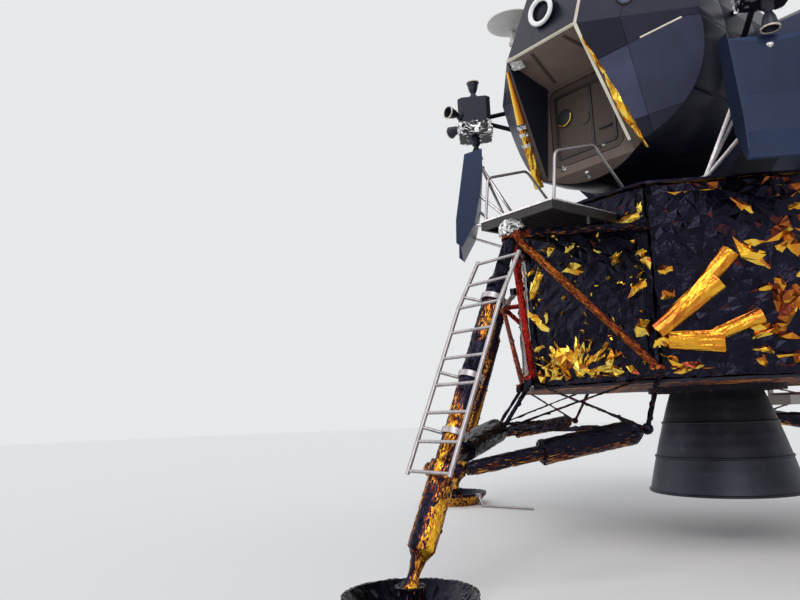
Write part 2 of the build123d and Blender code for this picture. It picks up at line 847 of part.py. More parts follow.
def hatch_brackets():
    """Hinge pins and their lugs on the wall inside the hatch's starboard edge."""
    wall_rear = recess_y + cabin_wall
    pieces = []
    for side in (-1, 1):
        z = hatch_z + side * hinge_spread
        pieces.append(Pos(hinge_x, hinge_y, z) * Cylinder(hinge_pin, 110))
        for end in (-1, 1):
            lug = Pos(hinge_x, wall_rear - 2, z + end * 46) * Box(
                30, hinge_y + 14 - wall_rear, 20, align=(Align.CENTER, Align.MIN, Align.CENTER))
            pieces.append(lug)
    return pieces


def build_crew_cabin():
    """Pressure cabin, open where the windows and the hatch are."""
    walls = cabin_body(0) - recess_body(0)
    room = cabin_body(cabin_wall) - recess_body(cabin_wall)
    cabin = walls - room
    for pane in mirrored_pair(window_prism(0, -4 * cabin_wall, cabin_wall)):
        cabin = cabin - pane
    for pane in mirrored_pair(window_prism(window_seat, -window_thickness - seat_gap, cabin_wall)):
        cabin = cabin - pane
    cabin = cabin - docking_prism(0, -2 * cabin_wall, cabin_wall)
    cabin = cabin - docking_prism(window_seat, -window_thickness - seat_gap, cabin_wall)
    cabin = cabin - hatch_prism(door_gap, recess_y - 60, recess_y + cabin_wall + 60)
    return cabin + hatch_brackets()


def build_window_panes():
    panes = window_prism(window_seat - 2, -window_thickness, 0)
    docking = docking_prism(window_seat - 2, -window_thickness, 0)
    return Compound(children=mirrored_pair(panes) + [docking])


def build_hatch():
    """Square inward-opening hatch with a raised inner ring and a latch boss."""
    door = hatch_prism(0, recess_y + 2, recess_y + 2 + hatch_thickness)
    ring = hatch_prism(-70, recess_y + 2, recess_y + 22 + hatch_thickness)
    ring = ring - hatch_prism(-110, recess_y - 10, recess_y + 30 + hatch_thickness)
    face = hatch_prism(-110, recess_y + 14, recess_y + 40)
    boss = Pos(0, recess_y + 2, hatch_z) * Rot(90, 0, 0) * Cylinder(60, 24)
    body = door + ring + face + boss
    strap_rear = hinge_y + 6
    door_rear = recess_y + 2 + hatch_thickness
    for side in (-1, 1):
        z = hatch_z + side * hinge_spread
        barrel = Pos(hinge_x, hinge_y, z) * (Cylinder(hinge_barrel, 60) - Cylinder(
            hinge_pin + pin_clearance, 80))
        strap = Pos(hinge_x + hinge_barrel - 4, strap_rear, z) * Box(
            90, 12, 60, align=(Align.MIN, Align.MAX, Align.CENTER))
        pad = Pos(-hatch_half + 8, strap_rear, z) * Box(
            70, strap_rear - door_rear + 2, 60, align=(Align.MIN, Align.MAX, Align.CENTER))
        body = body + [barrel, strap, pad]
    return body


def build_tracking_light():
    """Round lamp that stands on the beam between the windows, its face upright."""
    depth = light_radius * 2
    body = Rot(90, 0, 0) * turned([
        (0, -depth), (light_radius, -depth), (light_radius, -8), (light_radius - 8, 0),
        (light_lens_radius, 0), (light_lens_radius * 0.9, -light_lens_depth), (0, -light_lens_depth * 0.6),
    ])
    body = Pos(0, light_front_y, light_z) * body
    return split(body, bisect_by=beam_plane.offset(seat_gap), keep=Keep.TOP)


def build_fuel_cask():
    """Banded cask tilted on four arms in front of the port aft bay, drawn facing +X."""
    face_x = diagonal_reach - seam_depth / math.sqrt(2) + seat_gap
    middle = Pos(face_x + cask_out, 0, cask_z) * Rot(90 - cask_tilt, 0, 0)
    body = middle * Cylinder(cask_radius, cask_length)
    body = fillet(body.edges().filter_by(GeomType.CIRCLE), cask_radius / 4)
    pieces = [body]
    for share in (-0.3, 0.3):
        at = cask_length * share
        pieces.append(middle * Pos(0, 0, at) * Cylinder(cask_radius + cask_band_rise, cask_length / 12))
        hub = (middle * Pos(0, 0, at)).position
        for rise in (-cask_radius, cask_radius):
            foot = (face_x, hub.Y, hub.Z + 2 * rise)
            pieces.append(tube((hub.X, hub.Y, hub.Z), foot, cask_arm_radius))
            pieces.append(Pos(*foot) * Rot(0, 90, 0) * Cylinder(45, 12, align=(Align.CENTER, Align.CENTER, Align.MIN)))
    behind = Pos(face_x, 0, cask_z) * Box(400, 2000, 2000, align=(Align.MAX, Align.CENTER, Align.CENTER))
    return Rot(0, 0, 45) * (joined(pieces) - behind)


def build_cabin_floor():
    """Floor, side consoles and the ascent engine cover seen through hatch and windows."""
    room = cabin_body(cabin_wall + seat_gap)
    recess = recess_body(cabin_wall + 2)
    floor = Pos(0, -1300, floor_z) * Box(
        2400, 2400, floor_thickness, align=(Align.CENTER, Align.CENTER, Align.MAX))
    cover = Pos(0, cabin_rear_y - cabin_wall, floor_z - floor_thickness) * Cylinder(
        cover_radius, cover_height, align=(Align.CENTER, Align.CENTER, Align.MIN))
    console = Pos(console_x, -1250, floor_z - floor_thickness) * Box(
        500, 900, console_height, align=(Align.MIN, Align.CENTER, Align.MIN))
    body = floor + cover + mirrored_pair(console)
    return (body & room) - recess


def build_midsection():
    """Middle of the ascent stage, which carries the tunnel and the tank bays."""
    port = [
        (mid_floor_half, ascent_base_z + skirt_rise), (mid_chine_half, mid_chine_z), (mid_half, mid_low_z),
        (mid_half, mid_high_z), (mid_shoulder_half, mid_shoulder_z), (mid_top_half, mid_top_z),
    ]
    profile = port + [(-x, z) for x, z in reversed(port)]
    body = prism_y(profile, cabin_rear_y, mid_rear_y)
    tunnel_room = Pos(0, 0, tunnel_low_z) * Cylinder(tunnel_radius, 1200, align=(Align.CENTER, Align.CENTER, Align.MIN))
    skirt_z = deck_z + seat_gap
    skirt = Pos(0, 0, skirt_z) * Cylinder(
        skirt_radius, ascent_base_z + skirt_rise - skirt_z, align=(Align.CENTER, Align.CENTER, Align.MIN))
    return body - tunnel_room + skirt


def build_docking_tunnel():
    """Tunnel with its ring and the conical recess of the drogue."""
    outer = tunnel_radius - seat_gap
    return turned([
        (0, tunnel_low_z), (outer, tunnel_low_z), (outer, tunnel_top_z - dock_ring_height),
        (outer + dock_ring_flange, tunnel_top_z - dock_ring_height), (outer + dock_ring_flange, tunnel_top_z),
        (tunnel_bore, tunnel_top_z), (tunnel_bore - 10, tunnel_top_z - 90),
        (drogue_radius + 30, drogue_z + 40), (drogue_radius, drogue_z), (0, drogue_z),
    ])


def cut_corner_face(x, half_y, low, high):
    """Eight-sided face across the ship at x, its corners cut by a third."""
    cut_y = half_y * bay_corner
    cut_z = (high - low) * bay_corner / 2
    points = [
        (-half_y + cut_y, low), (half_y - cut_y, low), (half_y, low + cut_z), (half_y, high - cut_z),
        (half_y - cut_y, high), (-half_y + cut_y, high), (-half_y, high - cut_z), (-half_y, low + cut_z),
    ]
    plane = Plane(origin=(x, 0, 0), x_dir=(0, 1, 0), z_dir=(1, 0, 0))
    return plane * make_face(Polyline(*points, close=True))


def tank_bay(outer_x, inner_x, outer_half):
    """Faceted bay that swells and then tapers outward from the midsection."""
    knee_x = inner_x + (outer_x - inner_x) * bay_knee
    sections = (
        cut_corner_face(inner_x, bay_inner_half, bay_inner_low, bay_inner_high),
        cut_corner_face(knee_x, bay_knee_half, bay_knee_low, bay_knee_high),
        cut_corner_face(outer_x, outer_half, bay_outer_low, bay_outer_high),
    )
    return loft(sections, ruled=True)


def build_port_bay():
    return tank_bay(port_bay_x, mid_half, port_bay_half)


def build_starboard_bay():
    return tank_bay(starboard_bay_x, -mid_half, starboard_bay_half)


def build_aft_bay():
    """Aft equipment bay with cut corners and six raised panels on its rear face."""
    body = prism_z([
        (-aft_bay_half, mid_rear_y), (-aft_bay_half, aft_corner_y), (-aft_face_half, aft_bay_y),
        (aft_face_half, aft_bay_y), (aft_bay_half, aft_corner_y), (aft_bay_half, mid_rear_y),
    ], aft_bay_low, aft_bay_high)
    wide = 2 * aft_face_half / aft_columns
    tall = (aft_bay_high - aft_bay_low) / aft_rows
    for column in range(aft_columns):
        for row in range(aft_rows):
            x = -aft_face_half + wide * (column + 0.5)
            z = aft_bay_low + tall * (row + 0.5)
            panel = Pos(x, aft_bay_y, z) * Box(wide - aft_seam, 2 * aft_panel_rise, tall - aft_seam)
            body = body + panel
    return body


def build_interstage():
    """Four braced feet between the stages."""
    pieces = []
    for x_side in (-1, 1):
        for y_side in (-1, 1):
            top = (x_side * feet_top, y_side * feet_top, ascent_base_z + skirt_rise)
            foot = (x_side * feet_low, y_side * feet_low, deck_z + deck_thickness)
            leg = tube((foot[0], foot[1], foot[2] - 60), (top[0], top[1], top[2] + 60), feet_radius)
            room = Pos(0, 0, foot[2]) * Box(
                3000, 3000, top[2] - foot[2], align=(Align.CENTER, Align.CENTER, Align.MIN))
            pieces.append(leg & room)
    return Compound(children=pieces)


def nozzle():
    """Small thruster bell and chamber, firing along +X from the origin."""
    profile = [
        (0, 0), (nozzle_throat + 22, 0), (nozzle_throat + 22, 90), (nozzle_throat, 120),
        (nozzle_throat + 24, 170), (nozzle_exit, nozzle_length), (nozzle_exit - nozzle_wall, nozzle_length),
        (nozzle_throat + 24 - nozzle_wall, 172), (0, 130),
    ]
    return Rot(0, 90, 0) * turned(profile)


def cabin_drum():
    """The cabin's cylinder with its seat gap, to trim what stands on it."""
    length = cabin_rear_y - hood_y
    return Pos(0, cabin_rear_y, cabin_z) * Rot(90, 0, 0) * Cylinder(
        cabin_radius + seat_gap, length, align=(Align.CENTER, Align.CENTER, Align.MIN))


def build_thruster_cluster(carrier):
    """Four nozzles round a box on a braced boom, drawn at the port front corner."""
    centre = (quad_offset, -quad_offset, quad_z)
    housing = Pos(*centre) * Rot(0, 0, 45) * Box(2 * quad_half, 2 * quad_half, quad_height)
    housing = chamfer(housing.edges().filter_by(Axis.Z), quad_half / 4)
    pieces = [housing]
    for turn in (Rot(0, -90, 0), Rot(0, 90, 0)):
        pieces.append(Pos(*centre) * turn * Pos(quad_height / 2 - 4, 0, 0) * nozzle())
    pieces.append(Pos(*centre) * Rot(0, 0, -90) * Pos(quad_nozzle_start, 0, 0) * nozzle())
    pieces.append(Pos(*centre) * Pos(quad_nozzle_start, 0, 0) * nozzle())
    for drop in (-quad_strut_drop, quad_strut_drop):
        foot = (quad_strut_x, quad_strut_y, quad_z + drop - (quad_z - cabin_z))
        pieces.append(tube(centre, foot, quad_strut_radius))
    return joined(pieces) - carrier


# Radar dish

def dish(radius, depth, wall):
    """Shallow round dish that opens along -Y, its hub at the origin."""
    steps = 5
    front = [(radius * i / steps, depth * (i / steps) ** 2 + wall) for i in range(steps + 1)]
    back = [(radius * i / steps, depth * (i / steps) ** 2) for i in range(steps, -1, -1)]
    body = turned(front + back)
    return Rot(90, 0, 0) * body


def build_radar_mount():
    post = Polyline((-1460, 5840), (-1330, 5840), (radar_y + 45, radar_z), (radar_y - 45, radar_z), close=True)
    web = extrude(Plane.YZ * make_face(post), 45, both=True)
    barrel = Pos(0, radar_y, radar_z) * Rot(0, 90, 0) * Cylinder(62, 100)
    bore = Pos(0, radar_y, radar_z) * Rot(0, 90, 0) * Cylinder(30 + pin_clearance, 200)
    return web + barrel - bore - cabin_drum()


def build_radar_yoke():
    shaft = Pos(0, radar_y, radar_z) * Rot(0, 90, 0) * Cylinder(30, 190)
    pieces = [shaft]
    pin_y = radar_y - radar_pin_reach
    for side in (-1, 1):
        arm = Pos(side * 80, (radar_y + pin_y) / 2, radar_z) * Box(28, radar_pin_reach + 70, 70)
        pieces.append(arm)
    bar = Pos(0, pin_y, radar_z) * Box(188, 70, 70)
    bore = Pos(0, pin_y, radar_z) * Cylinder(18 + pin_clearance, 200)
    return joined(pieces) + bar - bore


def build_radar_dish():
    pin_y = radar_y - radar_pin_reach
    hub_y = pin_y - radar_dish_reach
    pin = Pos(0, pin_y, radar_z) * Cylinder(18, 130)
    pieces = [pin]
    for side in (-1, 1):
        plate = Pos(0, (pin_y + hub_y) / 2 + 10, radar_z + side * 52) * Box(50, radar_dish_reach + 40, 22)
        pieces.append(plate)
    pieces.append(Pos(0, hub_y + 20, radar_z) * Box(60, 60, 126))
    pieces.append(Pos(0, hub_y, radar_z) * dish(radar_dish_radius, 90, 14))
    feed = (0, hub_y - 210, radar_z)
    pieces.append(Pos(0, hub_y - 190, radar_z) * Rot(90, 0, 0) * Cylinder(34, 50))
    for angle in (90, 210, 330):
        rim_x = 230 * math.cos(math.radians(angle))
        rim_z = radar_z + 230 * math.sin(math.radians(angle))
        pieces.append(tube((rim_x, hub_y - 50, rim_z), feed, 7))
    return joined(pieces)


# Steerable dish

def build_sband_boom():
    root = (-700, boom_y - 100, boom_z - 480)
    bend = (boom_x + 260, boom_y, boom_z)
    end = (boom_x, boom_y, boom_z)
    body = tube(root, bend, 38) + ball(bend, 44) + tube(bend, end, 44)
    bore = Pos(boom_x, boom_y, boom_z) * Rot(0, 90, 0) * Cylinder(24 + pin_clearance, 160)
    return body - bore - cabin_drum()


def build_sband_yoke():
    hub_x = boom_x - pin_clearance
    pin_x = hub_x - sband_pin_reach
    hub = Pos(hub_x - 20, boom_y, boom_z) * Rot(0, 90, 0) * Cylinder(60, 40)
    pin = Pos(hub_x + 30, boom_y, boom_z) * Rot(0, 90, 0) * Cylinder(24, 80)
    pieces = [hub, pin]
    for side in (-1, 1):
        arm = Pos((hub_x + pin_x) / 2 - 20, boom_y + side * 56, boom_z) * Box(sband_pin_reach, 24, 60)
        pieces.append(arm)
    pieces.append(Pos(hub_x - 30, boom_y, boom_z) * Box(24, 130, 60))
    bore = Pos(pin_x, boom_y, boom_z) * Rot(90, 0, 0) * Cylinder(14 + pin_clearance, 200)
    return joined(pieces) - bore


def build_sband_dish():
    pin_x = boom_x - pin_clearance - sband_pin_reach
    pin = Pos(pin_x, boom_y, boom_z) * Rot(90, 0, 0) * Cylinder(14, 150)
    stem = Pos(pin_x, boom_y, boom_z) * Box(44, 80, sband_dish_reach + 20, align=(Align.CENTER, Align.CENTER, Align.MIN))
    bowl = Pos(pin_x, boom_y, boom_z + sband_dish_reach) * Rot(-90, 0, 0) * dish(sband_radius, 110, 12)
    horn = tube((pin_x, boom_y, boom_z + sband_dish_reach), (pin_x, boom_y, boom_z + sband_dish_reach + 190), 16)
    return pin + stem + bowl + horn


# Antennas and lights

def build_mast():
    foot = Pos(mast_x, mast_y, 5560) * Cylinder(40, 60, align=(Align.CENTER, Align.CENTER, Align.MIN))
    rod = tube((mast_x, mast_y, 5600), (mast_x, mast_y, mast_top_z), 9)
    return foot + rod


def build_vhf_antennas(carrier):
    pieces = []
    for x, y, z in ((-760, 400, 5600), (760, 400, 5600)):
        stem = tube((x, y, z), (x * 1.15, y, z + 420), 14)
        blade = tube((x * 1.15, y - 160, z + 400), (x * 1.15, y + 160, z + 400), 12)
        pieces.append(stem + blade - carrier)
    return Compound(children=pieces)


# Landing radar under the aft bay

radar_hinge_y = face_reach - 308.0
radar_hinge_z = base_z - 138.0


def build_landing_radar_bracket():
    pieces = []
    for side in (-1, 1):
        cheek_plate = Pos(side * 250, radar_hinge_y, base_z - shield_thickness) * Box(
            24, 110, 150, align=(Align.CENTER, Align.CENTER, Align.MAX))
        pieces.append(cheek_plate)
    bore = Pos(0, radar_hinge_y, radar_hinge_z) * Rot(0, 90, 0) * Cylinder(16 + pin_clearance, 800)
    return Compound(children=[piece - bore for piece in pieces])


def build_landing_radar():
    panel = Pos(0, radar_hinge_y - 30, radar_hinge_z - 60) * Box(
        440, 540, 110, align=(Align.CENTER, Align.MAX, Align.CENTER))
    lug = Pos(0, radar_hinge_y - 30, radar_hinge_z) * Box(440, 120, 60)
    pin = Pos(0, radar_hinge_y, radar_hinge_z) * Rot(0, 90, 0) * Cylinder(16, 520)
    return panel + lug + pin


# Write every node

parts["descent_structure"] = build_descent_structure()
parts["quad_bays"] = build_quad_bays()
parts["pallet_bay"] = build_pallet_bay()
parts["tool_pallet"] = build_tool_pallet()
parts["descent_deck"] = build_descent_deck()
parts["base_shield"] = build_base_shield()
parts["engine_bell"] = build_engine_bell()
parts["engine_chamber"] = build_engine_chamber()
parts["gimbal_ring"] = build_gimbal_ring()
parts["gimbal_mounts"] = build_gimbal_mounts()
outrigger = build_outrigger()
primary_strut = build_primary_strut()
secondary_struts = build_secondary_struts()
footpad = build_footpad()
for leg, turn in legs.items():
    parts["outrigger_" + leg] = Rot(0, 0, turn) * outrigger
    parts["primary_strut_" + leg] = Rot(0, 0, turn) * primary_strut
    parts["secondary_struts_" + leg] = Rot(0, 0, turn) * secondary_struts
    parts["footpad_" + leg] = Rot(0, 0, turn) * footpad
probe = build_contact_probe()
parts["contact_probes"] = Compound(children=[Rot(0, 0, turn) * probe for turn in (90, 180, 270)])
parts["ladder"] = build_ladder()
parts["porch"] = build_porch()
parts["porch_handrails"] = build_handrails()
deflector = build_deflector()
parts["plume_deflectors"] = Compound(children=[Rot(0, 0, turn) * deflector for turn in (45, 135, 225, 315)])
parts["crew_cabin"] = build_crew_cabin()
parts["tracking_light"] = build_tracking_light()
parts["window_panes"] = build_window_panes()
parts["forward_hatch"] = build_hatch()
parts["cabin_floor"] = build_cabin_floor()
parts["midsection"] = build_midsection()
parts["docking_tunnel"] = build_docking_tunnel()
parts["fuel_cask"] = build_fuel_cask()
parts["port_tank_bay"] = build_port_bay()
parts["starboard_tank_bay"] = build_starboard_bay()
parts["aft_bay"] = build_aft_bay()
parts["interstage_feet"] = build_interstage()
middle = parts["midsection"]
front_cluster = build_thruster_cluster(cabin_drum() + middle)
aft_cluster = mirror(build_thruster_cluster(mirror(middle + parts["aft_bay"], about=Plane.XZ)), about=Plane.XZ)
parts["thrusters_port_front"] = front_cluster
parts["thrusters_port_aft"] = aft_cluster
parts["thrusters_starboard_front"] = mirror(front_cluster, about=Plane.YZ)
parts["thrusters_starboard_aft"] = mirror(aft_cluster, about=Plane.YZ)
parts["radar_mount"] = build_radar_mount()
parts["radar_yoke"] = build_radar_yoke()
parts["radar_dish"] = build_radar_dish()
parts["steerable_boom"] = build_sband_boom()
parts["steerable_yoke"] = build_sband_yoke()
parts["steerable_dish"] = build_sband_dish()
parts["antenna_mast"] = build_mast()
parts["vhf_antennas"] = build_vhf_antennas(parts["midsection"])
parts["landing_radar_bracket"] = build_landing_radar_bracket()
parts["landing_radar"] = build_landing_radar()

os.makedirs("parts", exist_ok=True)
for node, solid in parts.items():
    export_step(solid, "parts/" + node + ".step")
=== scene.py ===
"""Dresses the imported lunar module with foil, skins, trims and fittings, and sets its stage."""

import math
import random

import bmesh
import bpy
from mathutils import Matrix, Vector, noise


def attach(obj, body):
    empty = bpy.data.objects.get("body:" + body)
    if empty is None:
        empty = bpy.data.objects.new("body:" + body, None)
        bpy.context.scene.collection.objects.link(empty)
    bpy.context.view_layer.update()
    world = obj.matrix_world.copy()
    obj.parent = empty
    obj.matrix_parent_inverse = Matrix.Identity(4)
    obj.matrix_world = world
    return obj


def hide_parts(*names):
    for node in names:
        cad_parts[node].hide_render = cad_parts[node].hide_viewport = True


bl_info = {
    "name": "Lunar module dressing",
    "version": (1, 0, 0),
    "blender": (4, 5, 0),
    "location": "3D View > Sidebar > Lander",
    "description": "Foil, panelled skins, trims and fittings for the packed lunar module",
    "category": "Object",
}

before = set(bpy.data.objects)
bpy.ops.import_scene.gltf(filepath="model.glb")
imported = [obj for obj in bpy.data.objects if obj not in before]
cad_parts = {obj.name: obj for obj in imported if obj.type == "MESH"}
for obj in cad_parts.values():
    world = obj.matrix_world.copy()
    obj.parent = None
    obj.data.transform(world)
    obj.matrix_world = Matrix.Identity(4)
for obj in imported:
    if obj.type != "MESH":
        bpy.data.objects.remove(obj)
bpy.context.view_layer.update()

LEGS = ("front", "port", "aft", "starboard")
CORNERS = {"port_front": (1, -1), "port_aft": (1, 1), "starboard_front": (-1, -1), "starboard_aft": (-1, 1)}
# Places of the module in metres: +Z up, front towards -Y, port towards +X
HOOD = Vector((0.41, -2.48, 4.74))
BROW = Vector((0.36, -2.08, 5.70))
SILL = Vector((0.65, -1.83, 3.56))
CHEEK = Vector((1.13, -1.79, 4.76))
RECESS_FOOT = Vector((0.497, -1.93, 3.735))
CABIN_AXIS_Z = 4.70
CABIN_RADIUS = 1.168
CABIN_CENTRE = Vector((0, -1, CABIN_AXIS_Z))
FACET_SPLIT = 0.69
DRUM_SPLIT = -1.30
HATCH_FACE = -1.882
ARM_REACH = 2.108
ARM_HALF = 0.686
BAY_REACH = (ARM_REACH + ARM_HALF) / math.sqrt(2)
BAY_HALF = (ARM_REACH - ARM_HALF) / math.sqrt(2)
STAGE_LOW = 1.578
STAGE_HIGH = 3.226
STRUT_TOP = Vector((0, -3.02, 2.83))
STRUT_FOOT = Vector((0, -4.242, 0.215))
QUAD_OFFSET = 1.69
QUAD_Z = 4.80
NOZZLE_EXIT = 0.072
LIGHT_FACE = Vector((0, -2.434, 5.09))


def flipped(point):
    """The same point on the other side."""
    return Vector((-point[0], point[1], point[2]))


def metres(name, description, default):
    """A length that a user can change."""
    return bpy.props.FloatProperty(name=name, description=description, default=default, unit="LENGTH")


def base_colour(name, description, default):
    """A colour that a user can change."""
    return bpy.props.FloatVectorProperty(name=name, description=description, default=default, subtype="COLOR")


class LanderSizes(bpy.types.PropertyGroup):
    """Sizes of the dressing, in metres."""

    foil_depth: metres("Foil depth", "How far the foil's creases sink", 0.024)
    foil_grain: metres("Foil grain", "Longest crease left in the foil", 0.11)
    wrap_depth: metres("Wrap depth", "Depth of the folds in the leg wraps", 0.012)
    seam: metres("Seam", "Half width of the groove between skin panels", 0.004)
    plate_rise: metres("Plate rise", "How proud each skin panel stands", 0.0035)
    rivet: metres("Rivet", "Radius of a rivet head", 0.0055)
    rivet_gap: metres("Rivet spacing", "Distance between rivets along a seam", 0.09)
    trim: metres("Trim width", "Width of the flanges round the hatch's recess", 0.026)


class LanderColours(bpy.types.PropertyGroup):
    """Base colours of the finishes."""

    navy: base_colour("Foil shadow", "Foil between its glints", (0.012, 0.011, 0.024))
    gold: base_colour("Foil gold", "Brightest foil facets", (0.90, 0.50, 0.035))
    bright: base_colour("Foil glint", "Facets that catch the light", (1.0, 0.74, 0.13))
    red: base_colour("Foil red", "Red side of the leg wraps", (0.42, 0.022, 0.015))
    orange: base_colour("Foil orange", "Middle foil facets", (0.62, 0.20, 0.02))
    russet: base_colour("Foil russet", "Deep foil facets", (0.16, 0.025, 0.012))
    skin: base_colour("Black skin", "Blackened panels", (0.012, 0.013, 0.024))
    front: base_colour("Front grey", "Grey brown face under the hood", (0.100, 0.074, 0.062))
    cream: base_colour("Cream", "Painted flanges", (0.62, 0.55, 0.45))
    silver: base_colour("Silver foil", "Crumpled silver foil", (0.62, 0.61, 0.60))
    metal: base_colour("Bare metal", "Ladder, porch and struts", (0.36, 0.33, 0.34))
    white: base_colour("White paint", "Dishes and lamp ring", (0.74, 0.73, 0.70))
    glass: base_colour("Window", "Tinted window glass", (0.10, 0.17, 0.42))
    bell: base_colour("Engine bell", "Dark engine bell", (0.035, 0.038, 0.052))
    deflector: base_colour("Deflector", "Blue black deflectors", (0.012, 0.022, 0.055))
    floor: base_colour("Floor", "Studio floor and backdrop", (0.78, 0.78, 0.77))


# Materials


class Nodes:
    """An empty node tree of a material or a world, and short ways to fill it."""

    def __init__(self, owner):
        owner.use_nodes = True
        self.tree = owner.node_tree
        self.tree.nodes.clear()

    def node(self, kind, sockets=(), **settings):
        """Adds a node, sets its options, and fills or links its sockets."""
        made = self.tree.nodes.new("ShaderNode" + kind)
        for key, value in settings.items():
            setattr(made, key, value)
        for socket, value in dict(sockets).items():
            if isinstance(value, bpy.types.NodeSocket):
                self.tree.links.new(value, made.inputs[socket])
            else:
                made.inputs[socket].default_value = value
        return made

    def maths(self, operation, *values):
        """Result of a Math node on one or two values."""
        return self.node("Math", dict(enumerate(values)), operation=operation).outputs[0]


class Shade(Nodes):
    """One material's nodes, built from left to right round a Principled shader."""

    def __init__(self, name):
        self.material = bpy.data.materials.new(name)
        super().__init__(self.material)
        self.shader = self.node("BsdfPrincipled")
        self.node("OutputMaterial", {0: self.shader.outputs[0]})
        self.place = self.node("TexCoord").outputs["Object"]

    def put(self, socket, value):
        """Fills or links a socket of the shader."""
        if isinstance(value, bpy.types.NodeSocket):
            self.tree.links.new(value, self.shader.inputs[socket])
        else:
            self.shader.inputs[socket].default_value = value

    def grain(self, scale, detail=3.0, rough=0.5, stretch=None):
        """Noise over the piece's own coordinates, stretched along an axis if asked."""
        place = self.place
        if stretch:
            place = self.node("Mapping", {"Vector": place, "Scale": stretch}).outputs[0]
        sockets = {"Vector": place, "Scale": scale, "Detail": detail, "Roughness": rough}
        return self.node("TexNoise", sockets).outputs[0]

    def ramp(self, factor, stops):
        """Colour ramp over a factor."""
        made = self.node("ValToRGB", {0: factor})
        band = made.color_ramp
        while len(band.elements) < len(stops):
            band.elements.new(0.5)
        for element, (place, colour) in zip(band.elements, stops):
            element.position = place
            element.color = (*colour, 1.0)
        return made.outputs[0]

    def span(self, factor, low, high):
        """Maps a factor from 0..1 to low..high."""
        return self.node("MapRange", {0: factor, 3: low, 4: high}).outputs[0]

    def bumps(self, *layers):
        """Chains bump nodes, each given as height and strength and distance."""
        normal = None
        for height, strength, distance in layers:
            sockets = {"Height": height, "Strength": strength, "Distance": distance}
            if normal:
                sockets["Normal"] = normal
            normal = self.node("Bump", sockets).outputs[0]
        self.put("Normal", normal)


def tint(colour, amount):
    """A lighter or darker version of a colour."""
    return tuple(min(1.0, channel * amount) for channel in colour)


def make_foil(name, stops, rough, metallic=0.85):
    """Foil whose facets take their colour from the glint painted on each of them."""
    shade = Shade(name)
    glint = shade.node("Attribute", attribute_name="glint").outputs["Fac"]
    stain = shade.grain(23.0, 4.0, 0.6)
    factor = shade.maths("ADD", glint, shade.maths("MULTIPLY", stain, 0.14))
    shade.put("Base Color", shade.ramp(factor, stops))
    shade.put("Metallic", metallic)
    shade.put("Specular IOR Level", 0.3)
    shade.put("Roughness", shade.span(stain, rough * 0.75, rough * 1.3))
    cells = shade.node("TexVoronoi", {"Vector": shade.place, "Scale": 34.0}, feature="F1")
    crinkle = cells.outputs["Distance"]
    shade.bumps((crinkle, 0.35, 0.006), (shade.grain(90.0, 3.0), 0.2, 0.002))


def make_skin(name, colour, rough, metallic=0.3, streak=False):
    """Painted or blackened sheet, a little different on each panel."""
    shade = Shade(name)
    panel = shade.node("Attribute", attribute_name="panel").outputs["Fac"]
    cloud = shade.grain(3.2, 4.0, 0.6, (1.0, 1.0, 0.35) if streak else None)
    factor = shade.maths("ADD", shade.maths("MULTIPLY", cloud, 0.6), panel)
    stops = ((0.15, tint(colour, 0.62)), (0.55, colour), (1.0, tint(colour, 1.75)))
    shade.put("Base Color", shade.ramp(factor, stops))
    shade.put("Metallic", metallic)
    shade.put("Specular IOR Level", 0.25)
    fine = shade.grain(60.0, 4.0, 0.65)
    shade.put("Roughness", shade.span(fine, rough * 0.8, rough * 1.25))
    shade.bumps((cloud, 0.12, 0.02), (fine, 0.12, 0.001))


def make_metal(name, colour, rough):
    """Anodised or bare metal with drawn streaks and handling marks."""
    shade = Shade(name)
    drawn = shade.grain(40.0, 3.0, 0.5, (1.0, 1.0, 0.2))
    marks = shade.grain(9.0, 5.0, 0.7)
    both = shade.maths("MULTIPLY", shade.maths("ADD", drawn, marks), 0.5)
    stops = ((0.25, tint(colour, 0.55)), (0.5, colour), (0.8, tint(colour, 1.5)))
    shade.put("Base Color", shade.ramp(both, stops))
    shade.put("Metallic", 0.8)
    shade.put("Roughness", shade.span(marks, rough * 0.7, rough * 1.4))
    shade.bumps((drawn, 0.12, 0.001),)


def make_glass(name, colour):
    """Tinted window pane with a faint film of dust."""
    shade = Shade(name)
    film = shade.grain(5.0, 4.0, 0.6)
    shade.put("Base Color", shade.ramp(film, ((0.3, colour), (0.75, tint(colour, 1.5)))))
    shade.put("Roughness", shade.span(film, 0.04, 0.16))
    shade.put("Transmission Weight", 0.45)
    shade.put("IOR", 1.45)
    shade.bumps((film, 0.03, 0.01),)


def make_bell(name, colour):
    """Heat-tinted bell with faint turned bands."""
    shade = Shade(name)
    height = shade.node("SeparateXYZ", {0: shade.place}).outputs[2]
    wave = shade.maths("SINE", shade.maths("MULTIPLY", height, 55.0))
    cloud = shade.grain(4.0, 4.0, 0.6)
    stops = ((0.2, tint(colour, 0.6)), (0.55, colour), (0.9, tint(colour, 2.2)))
    shade.put("Base Color", shade.ramp(cloud, stops))
    shade.put("Metallic", 0.7)
    shade.put("Roughness", shade.span(cloud, 0.35, 0.6))
    shade.bumps((wave, 0.25, 0.003), (shade.grain(70.0), 0.15, 0.001))


def make_stage_paint(name, colour):
    """Plain pale studio paint."""
    shade = Shade(name)
    shade.put("Base Color", (*colour, 1.0))
    shade.put("Roughness", 0.9)


